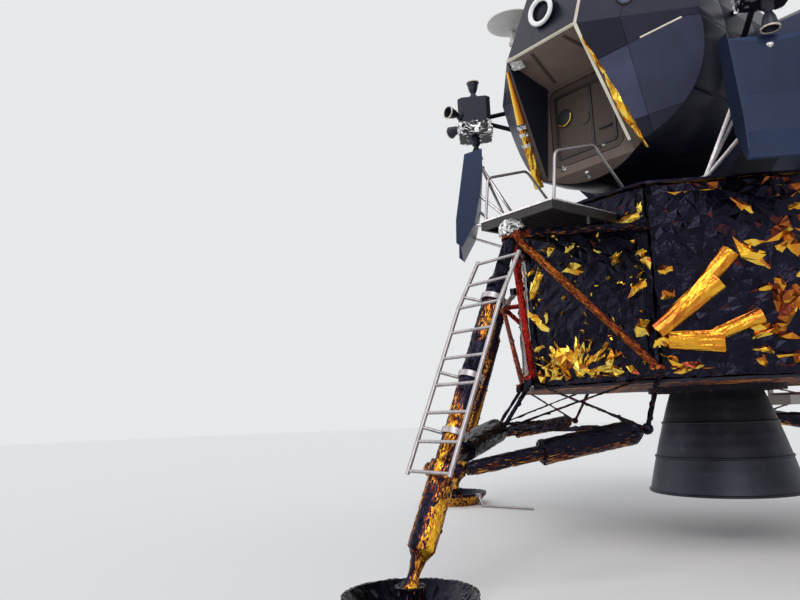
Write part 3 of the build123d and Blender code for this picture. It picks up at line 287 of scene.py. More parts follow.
def make_finishes(colours):
    """Every finish of the module, kept by name in bpy.data.materials."""
    navy, russet, orange, gold = colours.navy, colours.russet, colours.orange, colours.gold
    red, bright = colours.red, colours.bright
    shadow = tint(navy, 0.45)
    make_foil("Amber foil", (
        (0.0, shadow), (0.56, navy), (0.64, russet), (0.72, orange), (0.84, gold)), 0.26)
    make_foil("Dark foil", (
        (0.0, shadow), (0.62, navy), (0.70, russet), (0.80, orange), (0.92, gold)), 0.30)
    make_foil("Base foil", (
        (0.0, shadow), (0.62, navy), (0.74, russet), (0.9, orange)), 0.6, metallic=0.15)
    make_foil("Russet wrap", (
        (0.0, shadow), (0.20, tint(russet, 0.7)), (0.50, tint(russet, 2.0)), (0.84, orange), (1.0, gold)), 0.28)
    make_foil("Red wrap", (
        (0.0, shadow), (0.22, tint(red, 0.25)), (0.5, red), (0.85, tint(red, 1.9))), 0.26)
    make_foil("Gold fold", (
        (0.0, shadow), (0.22, russet), (0.42, orange), (0.60, gold), (0.86, bright)), 0.20)
    grey = colours.silver
    make_foil("Silver foil", (
        (0.0, tint(grey, 0.03)), (0.35, tint(grey, 0.16)), (0.6, tint(grey, 0.7)),
        (0.85, tint(grey, 1.3))), 0.3)
    make_skin("Black skin", colours.skin, 0.42, 0.35)
    make_skin("Front skin", colours.front, 0.5, 0.15, streak=True)
    # The hood's underside: a lighter copy of the front grey, painted light falling on it from below
    make_skin("Hood skin", tint(colours.front, 1.7), 0.5, 0.1, streak=True)
    make_skin("Cream paint", colours.cream, 0.5, 0.0)
    make_skin("White paint", colours.white, 0.45, 0.0)
    make_skin("Slate skin", tint(colours.skin, 3.4), 0.40, 0.3)
    make_skin("Deflector skin", colours.deflector, 0.38, 0.4, streak=True)
    make_metal("Ladder metal", colours.metal, 0.38)
    make_metal("Dark metal", tint(colours.metal, 0.13), 0.42)
    make_metal("Polished metal", tint(colours.metal, 1.9), 0.25)
    make_glass("Window glass", colours.glass)
    make_bell("Bell metal", colours.bell)
    make_stage_paint("Studio paint", colours.floor)


def finish(name):
    """A finish by its name."""
    return bpy.data.materials[name]


# Mesh helpers


def copy_of(*nodes):
    """A merged mesh of some CAD nodes, its flat faces whole again."""
    bm = bmesh.new()
    for node in nodes:
        bm.from_mesh(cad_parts[node].data)
    bmesh.ops.remove_doubles(bm, verts=bm.verts, dist=0.0001)
    bmesh.ops.dissolve_limit(bm, angle_limit=math.radians(0.5), verts=bm.verts, edges=bm.edges)
    return bm


def everything(bm):
    """All that a bmesh holds, as its operators want it."""
    return bm.verts[:] + bm.edges[:] + bm.faces[:]


def cut(bm, point, normal):
    """Scores the whole mesh along a plane."""
    bmesh.ops.bisect_plane(bm, geom=everything(bm), dist=0.0001, plane_co=point, plane_no=normal)


def shorten(bm, longest):
    """Splits edges until none is longer than asked, and leaves triangles."""
    bmesh.ops.triangulate(bm, faces=bm.faces)
    for _ in range(7):
        long_edges = [edge for edge in bm.edges if edge.calc_length() > longest]
        if not long_edges:
            break
        bmesh.ops.subdivide_edges(bm, edges=long_edges, cuts=1)
        bmesh.ops.triangulate(bm, faces=[face for face in bm.faces if len(face.verts) > 3])


def crumple(bm, rng, creases, grain, depth, lean=0.35):
    """Scores random straight creases and sinks each corner by its own amount."""
    points = [vert.co.copy() for vert in bm.verts]
    low = Vector([min(point[axis] for point in points) for axis in range(3)])
    high = Vector([max(point[axis] for point in points) for axis in range(3)])
    for _ in range(creases):
        point = Vector([rng.uniform(low[axis], high[axis]) for axis in range(3)])
        normal = Vector((rng.gauss(0, 1), rng.gauss(0, 1), rng.gauss(0, 1))).normalized()
        cut(bm, point, normal)
    bmesh.ops.remove_doubles(bm, verts=bm.verts, dist=0.004)
    shorten(bm, grain)
    bm.normal_update()
    moves = []
    for vert in bm.verts:
        broad = 0.5 + 0.5 * noise.noise(vert.co * 3.1)
        sink = depth * (0.45 * broad + 0.55 * rng.random())
        slide = Vector((rng.uniform(-1, 1), rng.uniform(-1, 1), rng.uniform(-1, 1))) * depth * lean
        slide -= vert.normal * max(0.0, slide.dot(vert.normal))
        moves.append((vert, slide - vert.normal * sink))
    for vert, move in moves:
        vert.co += move
    bm.normal_update()


def clamped(value):
    """A number kept between 0 and 1."""
    return max(0.0, min(1.0, value))


def store(bm, name, value_of):
    """Stores a number on each face under a name that a finish reads, and returns its layer."""
    layer = bm.faces.layers.float.new(name)
    for face in bm.faces:
        face[layer] = value_of(face)
    return layer


def paint_glint(bm, rng, base=0.30, tilt=0.9, spread=0.32):
    """Stores each facet's glint, a painted reflection with random tone mixed in. Facets that lean down are
    painted brighter, as if they mirrored a lit ground.
    """
    def glint_of(face):
        value = base - tilt * face.normal.z * 0.5 + rng.uniform(-spread, spread)
        return clamped(value + 0.25 * noise.noise(face.calc_center_median() * 2.3))

    return store(bm, "glint", glint_of)


def paint_panels(bm, rng, low=0.1, high=0.5):
    """Stores one shade number on each panel."""
    store(bm, "panel", lambda face: rng.uniform(low, high))


def pointing(direction):
    """Turn that points a shape's Z along a direction."""
    return Vector(direction).to_track_quat("Z", "Y").to_matrix().to_4x4()


def rod(bm, start, end, radius, segments, end_radius=None):
    """Adds a round rod or a taper between two points."""
    start, end = Vector(start), Vector(end)
    run = end - start
    bmesh.ops.create_cone(
        bm, cap_ends=True, segments=segments, radius1=radius,
        radius2=radius if end_radius is None else end_radius, depth=run.length,
        matrix=Matrix.Translation((start + end) / 2) @ pointing(run))


def bar(bm, start, end, width, depth, outward):
    """Adds a flat bar between two points, its depth along outward."""
    start, end, outward = Vector(start), Vector(end), Vector(outward)
    along = (end - start).normalized()
    across = along.cross(outward).normalized()
    facing = across.cross(along).normalized()
    turn = Matrix((across, facing, along)).transposed().to_4x4()
    size = Matrix.Diagonal((width, depth, (end - start).length, 1.0))
    matrix = Matrix.Translation((start + end) / 2) @ turn @ size
    bmesh.ops.create_cube(bm, size=1.0, matrix=matrix)


def mesh_from(bm, name, *finishes):
    """Turns a bmesh into a mesh with its finishes."""
    mesh = bpy.data.meshes.new(name)
    bm.to_mesh(mesh)
    bm.free()
    for each in finishes:
        mesh.materials.append(finish(each))
    return mesh


def placed(name, data):
    """A new object in the scene."""
    made = bpy.data.objects.new(name, data)
    bpy.context.scene.collection.objects.link(made)
    return made


def turned(bm, profile, matrix, steps=32):
    """Spins a profile of (radius, height) points round Z, places it and adds it."""
    part = bmesh.new()
    points = [part.verts.new((radius, 0.0, height)) for radius, height in profile]
    edges = [part.edges.new(pair) for pair in zip(points, points[1:])]
    bmesh.ops.spin(
        part, geom=points + edges, cent=(0, 0, 0), axis=(0, 0, 1), angle=math.tau, steps=steps, use_merge=True)
    bmesh.ops.remove_doubles(part, verts=part.verts, dist=0.0002)
    bmesh.ops.recalc_face_normals(part, faces=part.faces)
    bmesh.ops.transform(part, matrix=matrix, verts=part.verts)
    mesh = mesh_from(part, "turned part")
    bm.from_mesh(mesh)
    bpy.data.meshes.remove(mesh)


def fold(bm, rng, centre, outward, slope, length, width, height):
    """Adds an uneven many-sided ridge of foil that rises out of the blanket."""
    outward = Vector(outward).normalized()
    level = Vector((0, 0, 1)).cross(outward).normalized()
    along = level * math.cos(slope) + outward.cross(level) * math.sin(slope)
    across = outward.cross(along)
    turn = Matrix((along, across, outward)).transposed().to_4x4()
    size = Matrix.Diagonal((length / 2, width / 2, height, 1.0))
    spin = Matrix.Rotation(rng.uniform(0, 1), 4, "Z")
    made = bmesh.ops.create_cone(
        bm, cap_ends=True, segments=rng.choice((4, 5, 5, 6)), radius1=1.0, radius2=0.3, depth=1.0,
        matrix=Matrix.Translation(Vector(centre)) @ turn @ size @ spin)
    for vert in made["verts"]:
        high = (vert.co - Vector(centre)).dot(outward) > 0
        vert.co += along * rng.uniform(-0.16, 0.16) * length + across * rng.uniform(-0.3, 0.3) * width
        if high:
            vert.co += outward * rng.uniform(-0.6, 0.1) * height


def bevel_all(bm, width):
    """Rounds off the sharp edges of a small fitting."""
    edges = [edge for edge in bm.edges if edge.is_manifold and edge.calc_face_angle() > 0.6]
    bmesh.ops.bevel(
        bm, geom=edges, offset=width, offset_type="OFFSET", affect="EDGES", segments=1, profile=0.5,
        material=-1)


def as_piece(bm, name, materials, body="module", stands_for=()):
    """Turns a bmesh into a finished piece that rides on its body."""
    piece = placed(name, mesh_from(bm, name, *materials.split(", ")))
    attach(piece, body)
    if stands_for:
        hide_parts(*stands_for)


def rivets_along(bm, start, end, outward, sizes):
    """Adds a row of rivet heads between two points."""
    start, end, outward = Vector(start), Vector(end), Vector(outward).normalized()
    length = (end - start).length
    count = int(length / sizes.rivet_gap)
    turn = pointing(outward)
    for index in range(count):
        place = start.lerp(end, (index + 0.5) / count)
        bmesh.ops.create_cone(
            bm, cap_ends=True, segments=6, radius1=sizes.rivet, radius2=sizes.rivet * 0.5,
            depth=sizes.rivet, matrix=Matrix.Translation(place + outward * sizes.rivet * 0.3) @ turn)


# Operators


class DressOperator:
    """Shared parts of the operators below."""

    bl_options = {"REGISTER", "UNDO"}

    def sizes(self, context):
        """The sizes that the user can change."""
        return context.scene.lander_sizes


class OBJECT_OT_lander_finishes(DressOperator, bpy.types.Operator):
    """Make the finishes and give each CAD node that stays its own"""

    bl_idname = "object.lander_finishes"
    bl_label = "Finishes"

    STAYING = {
        "Ladder metal": ("ladder", "porch_handrails", "interstage_feet", "antenna_mast", "vhf_antennas",
                         "landing_radar_bracket", "contact_probes", "radar_mount", "radar_yoke",
                         "steerable_boom", "steerable_yoke"),
        # On the porch, the dark metal is painted shade
        "Dark metal": ("gimbal_mounts", "gimbal_ring", "engine_chamber", "cabin_floor", "fuel_cask", "porch"),
        "White paint": ("radar_dish", "steerable_dish", "landing_radar"),
        "Window glass": ("window_panes",),
        "Bell metal": ("engine_bell",),
        "Front skin": ("forward_hatch",),
        "Black skin": ("docking_tunnel", "tracking_light"),
    }

    def execute(self, context):
        make_finishes(context.scene.lander_colours)
        for name, nodes in self.STAYING.items():
            for node in nodes:
                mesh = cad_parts[node].data
                mesh.materials.clear()
                mesh.materials.append(finish(name))
        return {"FINISHED"}


class OBJECT_OT_lander_descent_foil(DressOperator, bpy.types.Operator):
    """Wrap the descent stage in crinkled foil"""

    bl_idname = "object.lander_descent_foil"
    bl_label = "Descent stage foil"

    WRAPPED = (
        ("descent_structure", "Amber foil", "amber_foil", "module", 70, 0.16),
        ("quad_bays", "Amber foil", "amber_foil", "module", 75, 0.20),
        ("pallet_bay", "Amber foil", "amber_foil", "module", 60, 0.20),
        ("tool_pallet", "Amber foil", "black_skin", "tool_pallet", 40, 0.40),
        ("base_shield", "Base foil", "black_skin", "module", 60, 0.14),
        ("descent_deck", "Dark foil", "black_skin", "module", 60, 0.12),
    )

    def execute(self, context):
        sizes = self.sizes(context)
        for index, (node, material, slot, body, creases, base) in enumerate(self.WRAPPED):
            rng = random.Random(40 + index)
            bm = copy_of(node)
            thin = node in ("base_shield", "descent_deck", "tool_pallet")
            crumple(bm, rng, creases, sizes.foil_grain, sizes.foil_depth * (0.35 if thin else 1.0))
            paint_glint(bm, rng, base=base, spread=0.26)
            as_piece(bm, node + "_foil", material, body=body, stands_for=(node,))
        return {"FINISHED"}


class OBJECT_OT_lander_foil_folds(DressOperator, bpy.types.Operator):
    """Raise the creased folds of the descent stage's blankets"""

    bl_idname = "object.lander_foil_folds"
    bl_label = "Foil folds"

    # Across, height, length, width, slope in degrees, seen on the front arm's face
    FRONT = (
        (-0.37, 2.87, 0.14, 0.06, 51), (-0.14, 2.85, 0.13, 0.05, 14), (0.16, 2.76, 0.11, 0.04, -32),
        (-0.10, 2.65, 0.27, 0.08, -10), (0.35, 2.64, 0.11, 0.10, 59), (-0.63, 2.69, 0.11, 0.06, 23),
        (-0.60, 2.56, 0.28, 0.05, 65), (-0.54, 2.57, 0.25, 0.05, 65), (-0.57, 2.21, 0.28, 0.06, -39),
        (-0.47, 2.25, 0.14, 0.03, 82), (-0.58, 1.95, 0.15, 0.06, -5), (-0.60, 1.85, 0.09, 0.05, -4),
        (-0.29, 1.82, 0.28, 0.18, 15), (-0.13, 1.85, 0.24, 0.04, 82), (-0.08, 1.87, 0.24, 0.05, 76),
        (0.02, 1.80, 0.22, 0.04, 30), (0.22, 1.77, 0.18, 0.07, 61), (0.05, 1.68, 0.22, 0.07, 12),
        (-0.45, 1.74, 0.13, 0.11, 48), (-0.49, 1.58, 0.20, 0.13, -57), (-0.58, 1.66, 0.12, 0.09, 19),
        (-0.13, 1.63, 0.20, 0.08, -48), (-0.30, 1.63, 0.19, 0.06, -42), (0.09, 1.62, 0.19, 0.04, 35),
        (0.26, 1.63, 0.16, 0.06, -24), (0.41, 1.68, 0.16, 0.06, -35), (0.59, 2.65, 0.13, 0.06, -2),
        (0.64, 2.57, 0.12, 0.06, -37), (0.58, 2.47, 0.17, 0.06, 33), (0.55, 2.35, 0.22, 0.09, 33),
        (0.50, 2.97, 0.25, 0.06, -5), (0.62, 3.03, 0.14, 0.04, 78), (0.55, 2.02, 0.19, 0.11, 11),
    )
    # The same on the port front bay, across measured from its front corner
    PORT_BAY = (
        (0.12, 2.48, 0.13, 0.05, -9), (0.10, 2.26, 0.16, 0.07, 7), (0.26, 2.17, 0.60, 0.20, 38),
        (0.30, 1.88, 0.40, 0.20, -2), (0.06, 1.88, 0.13, 0.12, 76), (0.20, 1.66, 0.26, 0.06, 4),
        (0.18, 1.58, 0.24, 0.05, 8), (0.16, 1.50, 0.22, 0.08, -12), (0.10, 1.74, 0.16, 0.05, -25),
        (0.48, 2.42, 0.46, 0.16, 48), (0.62, 1.98, 0.42, 0.14, 20), (0.80, 2.55, 0.34, 0.12, -30),
        (1.05, 2.10, 0.34, 0.12, 40), (1.30, 2.60, 0.30, 0.09, 15), (1.55, 1.95, 0.36, 0.13, -25),
    )

    # Folds of the port bay that are this long are bands, and random ones start past its table
    BAND_LENGTH = 0.4
    TABLE_END = 0.75
    SINK = 0.018

    def execute(self, context):
        rng = random.Random(71)
        bm = bmesh.new()
        for side in range(4):
            turn = Matrix.Rotation(side * math.pi / 2, 3, "Z")
            outward = turn @ Vector((0, -1, 0))
            level = turn @ Vector((1, 0, 0))
            table = self.FRONT if side == 0 else self.some(rng, 46, ARM_HALF)
            for across, high, length, width, slope in table:
                place = outward * ARM_REACH + level * across + Vector((0, 0, high))
                self.add(bm, rng, place, outward, length, width, slope)
            if side == 0:
                self.add_fan(bm, rng, outward)
                self.add_specks(bm, outward, level)
            if side == 3:
                continue
            slant = Matrix.Rotation(math.pi / 4, 3, "Z")
            outward, level = slant @ outward, slant @ level
            table = [(across + BAY_HALF, *rest) for across, *rest in self.some(rng, 60, BAY_HALF)]
            if side == 0:
                table = list(self.PORT_BAY) + [row for row in table if row[0] > self.TABLE_END]
                self.add_bands([row for row in table if row[2] >= self.BAND_LENGTH], outward, level)
                table = [row for row in table if row[2] < self.BAND_LENGTH]
            for across, high, length, width, slope in table:
                place = outward * (BAY_REACH - 0.012) + level * (across - BAY_HALF) + Vector((0, 0, high))
                self.add(bm, rng, place, outward, length, width, slope)
        crumple(bm, rng, creases=0, grain=0.15, depth=0.004, lean=1.0)
        self.paint_folds(bm, rng)
        as_piece(bm, "foil_folds", "Gold fold")
        return {"FINISHED"}

    def paint_folds(self, bm, rng):
        """Yellow glints on the arms, smoother orange ones on the bays, and dark facets among them. Facets that
        face down get a painted reflection and are brighter.
        """
        def glint_of(face):
            centre = face.calc_center_median()
            on_bay = min(abs(centre.x), abs(centre.y)) > ARM_HALF + 0.02
            base, spread = (0.37, 0.07) if on_bay else (0.62, 0.26)
            value = base - 0.42 * face.normal.z + rng.uniform(-spread, spread)
            value += 0.25 * noise.noise(centre * 4.0)
            if not on_bay and rng.random() < 0.18:
                value -= 0.4
            return clamped(value)

        store(bm, "glint", glint_of)

    def some(self, rng, count, half):
        """Random folds for a side that the photograph doesn't show, more of them low down."""
        return [(rng.uniform(-half + 0.08, half - 0.08),
                 STAGE_LOW + 0.1 + (STAGE_HIGH - STAGE_LOW - 0.25) * rng.random() ** 1.3,
                 rng.uniform(0.10, 0.30), rng.uniform(0.04, 0.11), rng.uniform(-80, 80)) for _ in range(count)]

    def add_specks(self, bm, outward, level):
        """Small glints strewn between the larger folds of the front face."""
        rng = random.Random(72)
        for _ in range(90):
            place = outward * (ARM_REACH + 0.006) + level * rng.uniform(-0.62, 0.62)
            place.z = STAGE_LOW + 0.06 + 1.45 * rng.random() ** 1.2
            length, width = rng.uniform(0.025, 0.065), rng.uniform(0.010, 0.022)
            self.add(bm, rng, place, outward, length, width, rng.uniform(-80, 80))

    def add_bands(self, table, outward, level):
        """Long smooth folds, each a flattened roll with a squared end."""
        rng = random.Random(73)
        bm = bmesh.new()
        for across, high, length, width, slope in table:
            slope = math.radians(slope)
            along = level * math.cos(slope) + Vector((0, 0, 1)) * math.sin(slope)
            turn = Matrix((outward.cross(along), outward, along)).transposed().to_4x4()
            place = outward * (BAY_REACH - 0.010) + level * (across - BAY_HALF) + Vector((0, 0, high))
            size = Matrix.Diagonal((width / 2, 0.045, length * 1.1, 1.0))
            bmesh.ops.create_cone(
                bm, cap_ends=True, segments=12, radius1=0.75, radius2=1.0, depth=1.0,
                matrix=Matrix.Translation(place) @ turn @ size)
        crumple(bm, rng, creases=3, grain=0.16, depth=0.008, lean=0.8)
        # Painted reflection: facets that face down are painted a little brighter
        store(bm, "glint", lambda face: (
            0.37 - 0.14 * face.normal.z + rng.uniform(-0.06, 0.06)
            + 0.24 * noise.noise(face.calc_center_median() * 5.0)))
        as_piece(bm, "bay_bands", "Gold fold")

    def add_fan(self, bm, rng, outward):
        """The fan of long shards that spreads from the low middle of the front face."""
        for index in range(22):
            slope = -20 + index * 10.5
            away = rng.uniform(0.16, 0.34)
            across = -0.17 + away * 1.3 * math.cos(math.radians(slope))
            high = 1.68 + away * 0.85 * math.sin(math.radians(slope))
            place = outward * ARM_REACH + Vector((across, 0, max(high, STAGE_LOW + 0.06)))
            self.add(bm, rng, place, outward, rng.uniform(0.13, 0.24), rng.uniform(0.022, 0.045), slope)

    def add(self, bm, rng, place, outward, length, width, slope):
        """One fold, its foot sunk in the blanket."""
        slope = math.radians(slope)
        length, width, high = length * 1.2, width * 1.35, min(0.06, 0.026 + width * 0.3)
        reach = 0.55 * (length * abs(math.sin(slope)) + width * abs(math.cos(slope)))
        place.z = max(STAGE_LOW + reach, min(STAGE_HIGH - reach, place.z))
        fold(bm, rng, place + outward * (high / 2 - self.SINK), outward, slope, length, width, high)


class OBJECT_OT_lander_leg_wraps(DressOperator, bpy.types.Operator):
    """Wrap outriggers, primary and secondary struts and footpads in foil"""

    bl_idname = "object.lander_leg_wraps"
    bl_label = "Leg wraps"

    # Heights and distance from the leg's middle where an outrigger's wrap gets painted shade: dark foil and a
    # dimmer glint
    PAINTED_SHADE_ABOVE = 2.74
    PAINTED_SHADE_BELOW = 1.66
    PAINTED_SHADE_BESIDE = 0.10
    SLIMMER_BY = 0.010
    SHROUD_RADIUS = 0.130

    def execute(self, context):
        sizes = self.sizes(context)
        down = (STRUT_FOOT - STRUT_TOP).normalized()
        for index, leg in enumerate(LEGS):
            turn = Matrix.Rotation(index * math.pi / 2, 3, "Z")
            back = turn.inverted()
            rng = random.Random(100 + index)
            bm = copy_of("outrigger_" + leg)
            bm.normal_update()
            for vert in bm.verts:
                vert.co -= vert.normal * self.SLIMMER_BY
            crumple(bm, rng, creases=60, grain=0.06, depth=sizes.wrap_depth)
            layer = paint_glint(bm, rng, base=0.36, tilt=0.7, spread=0.34)
            for face in bm.faces:
                place = back @ face.calc_center_median()
                beside = abs(place.x) > self.PAINTED_SHADE_BESIDE
                # Painted shade on the top and lowest tubes: dark foil and a dimmed glint
                if place.z > self.PAINTED_SHADE_ABOVE and beside or place.z < self.PAINTED_SHADE_BELOW:
                    face.material_index = 2
                    face[layer] *= 0.74
                elif place.x < -0.02:
                    face.material_index = 1
            as_piece(bm, f"outrigger_{leg}_wrap", "Russet wrap, Red wrap, Dark foil",
                     stands_for=("outrigger_" + leg,))
            bm = copy_of("primary_strut_" + leg)
            crumple(bm, rng, creases=45, grain=0.05, depth=sizes.wrap_depth)
            self.paint_strut(bm, rng, back, down)
            as_piece(bm, f"primary_strut_{leg}_wrap", "Dark foil",
                     stands_for=("primary_strut_" + leg,))
            for node, base in (("secondary_struts_", 0.17), ("footpad_", 0.32)):
                bm = copy_of(node + leg)
                crumple(bm, rng, creases=45, grain=0.08, depth=sizes.wrap_depth)
                paint_glint(bm, rng, base=base, spread=0.24)
                as_piece(bm, node + leg + "_wrap", "Dark foil", stands_for=(node + leg,))
            self.add_shroud(leg, turn, rng)
        return {"FINISHED"}

    def paint_strut(self, bm, rng, back, down):
        """Gold creases down the lower part of a leg, long and in line with it, and dark foil above. The port
        side of the leg's middle gets a painted highlight, and facets that face down a painted reflection.
        """
        def glint_of(face):
            off = back @ face.calc_center_median() - STRUT_TOP
            run = off.dot(down)
            across = off - down * run
            streak = noise.noise(Vector((across.x * 16.0, across.y * 16.0, run * 1.6)))
            low = clamped((run - 1.15) / 0.5)
            # Painted highlight along the port side of the leg's middle
            middle = max(0.0, 1.0 - abs(run - 0.85) / 0.5) * (0.34 if across.x > 0 else 0.05)
            value = 0.26 + 0.38 * low + middle + 0.42 * streak - 0.2 * (back @ face.normal).z
            return clamped(value + rng.uniform(-0.2, 0.2))

        store(bm, "glint", glint_of)

    def add_shroud(self, leg, turn, rng):
        """Bright crumpled foil over the joint at the top of a leg."""
        bm = bmesh.new()
        top = turn @ (STRUT_TOP + Vector((0, 0, 0.02)))
        bmesh.ops.create_icosphere(
            bm, subdivisions=3, radius=self.SHROUD_RADIUS, matrix=Matrix.Translation(top))
        bmesh.ops.bisect_plane(
            bm, geom=everything(bm), dist=0.0001, plane_co=turn @ (STRUT_TOP + Vector((0, -0.02, 0))),
            plane_no=turn @ Vector((0.1, 0.5, -1)).normalized(), clear_outer=True)
        bmesh.ops.holes_fill(bm, edges=[edge for edge in bm.edges if edge.is_boundary])
        crumple(bm, rng, creases=18, grain=0.08, depth=0.034)
        paint_glint(bm, rng, base=0.66, tilt=0.1, spread=0.42)
        as_piece(bm, "strut_shroud_" + leg, "Silver foil")


class OBJECT_OT_lander_cabin(DressOperator, bpy.types.Operator):
    """Panel the crew cabin's facets, drum and recess, and frame its windows"""

    bl_idname = "object.lander_cabin"
    bl_label = "Crew cabin"

    RECESS_BACK = -1.87
    RECESS_HALF = 0.55
    RECESS_HEIGHTS = (3.5, 4.8)
    # Edges of the paler patch below the port window
    PATCH_TOP = (Vector((0.663, -2.15, 4.5)), Vector((1.062, -1.833, 4.695)))
    PATCH_LOW = (Vector((0.613, -1.979, 3.882)), Vector((0.873, -1.758, 3.967)))

    def execute(self, context):
        sizes = self.sizes(context)
        corners = {
            "beam": (HOOD, BROW, flipped(HOOD)), "chin": (HOOD, SILL, flipped(HOOD)),
            "window": (HOOD, CHEEK, BROW), "lower": (HOOD, SILL, CHEEK),
            "far window": (flipped(HOOD), flipped(CHEEK), flipped(BROW)),
            "far lower": (flipped(HOOD), flipped(SILL), flipped(CHEEK)),
        }
        facets = {}
        for name, (a, b, c) in corners.items():
            normal = (b - a).cross(c - a).normalized()
            facets[name] = (a, normal if normal.dot(a - CABIN_CENTRE) > 0 else -normal)
        bm = copy_of("crew_cabin")
        for x in (0.0, FACET_SPLIT, -FACET_SPLIT):
            cut(bm, (x, 0, 0), (1, 0, 0))
        cut(bm, (0, DRUM_SPLIT, 0), (0, 1, 0))
        for degrees in (-60, -30, 0, 30, 60):
            angle = math.radians(degrees)
            cut(bm, (0, 0, CABIN_AXIS_Z), (math.sin(angle), 0, math.cos(angle)))
        for side in (Vector, flipped):
            for start, end in (self.PATCH_TOP, self.PATCH_LOW):
                facet = facets["lower" if side is Vector else "far lower"]
                along = side(end) - side(start)
                cut(bm, side(start), along.cross(facet[1]).normalized())
        layer = bm.faces.layers.float.new("panel")
        groups = {}
        for face in bm.faces:
            key = self.key_of(face, facets)
            if key:
                groups.setdefault(key, []).append(face)
        rng = random.Random(210)
        for key, faces in sorted(groups.items()):
            shade = rng.uniform(0.05, 0.6)
            # The hood's underside takes the lighter copy of the front grey, painted light
            index = {"recess": 1, "chin": 1, "ceiling": 3}.get(key[0], 0)
            if key[0] in ("lower", "far lower") and key[1]:
                index = 2
            for face in faces:
                face[layer] = shade
                face.material_index = index
            if key[0] not in ("recess", "ceiling", "cheek"):
                bmesh.ops.inset_region(
                    bm, faces=faces, thickness=sizes.seam, depth=sizes.plate_rise, use_even_offset=True)
        as_piece(bm, "cabin_skin", "Black skin, Front skin, Slate skin, Hood skin",
                 stands_for=("crew_cabin",))
        self.add_window_frames()
        self.add_lamp_ring()
        return {"FINISHED"}

    def key_of(self, face, facets):
        """Names the panel that a face of the cabin belongs to, or None for its inside."""
        centre = face.calc_center_median()
        for name, (point, normal) in facets.items():
            if abs((centre - point).dot(normal)) < 0.002 and face.normal.dot(normal) > 0.99:
                patch = False
                if "lower" in name:
                    place = centre if name == "lower" else flipped(centre)
                    patch = 3.882 + (place.x - 0.613) * 0.33 < place.z < 4.46 + (place.x - 0.663) * 0.49
                third = round(centre.x) if name == "beam" else int(abs(centre.x) > FACET_SPLIT)
                return (name, patch, third)
        radial = Vector((centre.x, 0, centre.z - CABIN_AXIS_Z))
        if radial.length > CABIN_RADIUS - 0.01 and face.normal.dot(radial.normalized()) > 0.9:
            angle = math.degrees(math.atan2(radial.x, radial.z))
            return ("drum", centre.y < DRUM_SPLIT, int((angle + 360) // 30))
        low, high = self.RECESS_HEIGHTS
        if centre.y < self.RECESS_BACK and abs(centre.x) < self.RECESS_HALF and low < centre.z < high:
            kind = "ceiling" if face.normal.z < -0.5 else "cheek" if face.normal.x > 0.4 else "recess"
            return (kind, False, 0)
        return None

    def add_window_frames(self):
        """A dark raised frame round each pane."""
        bm = copy_of("window_panes")
        outer = [face for face in bm.faces
                 if face.calc_area() > 0.03 and (face.normal.y < -0.4 or face.normal.z > 0.7)]
        bmesh.ops.inset_region(bm, faces=outer, thickness=0.024, depth=0.0, use_even_offset=True)
        around = {other for face in outer for edge in face.edges for other in edge.link_faces}
        rims = around - set(outer)
        bmesh.ops.delete(bm, geom=[face for face in bm.faces if face not in rims], context="FACES")
        bmesh.ops.solidify(bm, geom=bm.faces[:], thickness=-0.012)
        bmesh.ops.recalc_face_normals(bm, faces=bm.faces)
        paint_panels(bm, random.Random(220))
        as_piece(bm, "window_frames", "Dark metal")

    def add_lamp_ring(self):
        """The white ring round the tracking light's dark lens."""
        bm = bmesh.new()
        ring = [(0.098, 0.0), (0.112, 0.012), (0.136, 0.012), (0.144, 0.0), (0.144, -0.012), (0.098, -0.012),
                (0.098, 0.0)]
        turned(bm, ring, Matrix.Translation(LIGHT_FACE) @ Matrix.Rotation(math.pi / 2, 4, "X"), 48)
        paint_panels(bm, random.Random(230), 0.4, 0.5)
        as_piece(bm, "tracking_light_ring", "White paint")


class OBJECT_OT_lander_ascent_skins(DressOperator, bpy.types.Operator):
    """Panel the bays behind the cabin"""

    bl_idname = "object.lander_ascent_skins"
    bl_label = "Ascent skins"

    CUTS = {
        "midsection": (((0, 0, 4.3), (0, 0, 1)), ((0, 0, 5.05), (0, 0, 1)), ((0, 0, 4), (0, 1, 0)),
                       ((0.42, 0, 0), (1, 0, 0)), ((-0.42, 0, 0), (1, 0, 0))),
        "port_tank_bay": (((0, 0, 4.67), (0, 0, 1)), ((0, 0, 0), (0, 1, 0))),
        "starboard_tank_bay": (((0, 0, 4.67), (0, 0, 1)), ((0, 0, 0), (0, 1, 0))),
        "aft_bay": (((0, 1.05, 0), (0, 1, 0)), ((0, 0, 4.63), (0, 0, 1))),
    }

    def execute(self, context):
        sizes = self.sizes(context)
        for index, (node, cuts) in enumerate(self.CUTS.items()):
            rng = random.Random(200 + index)
            bm = copy_of(node)
            for point, normal in cuts:
                cut(bm, point, normal)
            plates = [face for face in bm.faces if face.calc_area() > 0.02]
            bmesh.ops.inset_individual(bm, faces=plates, thickness=sizes.seam, depth=sizes.plate_rise)
            paint_panels(bm, rng)
            for face in bm.faces:
                face.material_index = 1 if rng.random() < 0.25 else 0
            as_piece(bm, node + "_skin", "Black skin, Slate skin", stands_for=(node,))
        return {"FINISHED"}


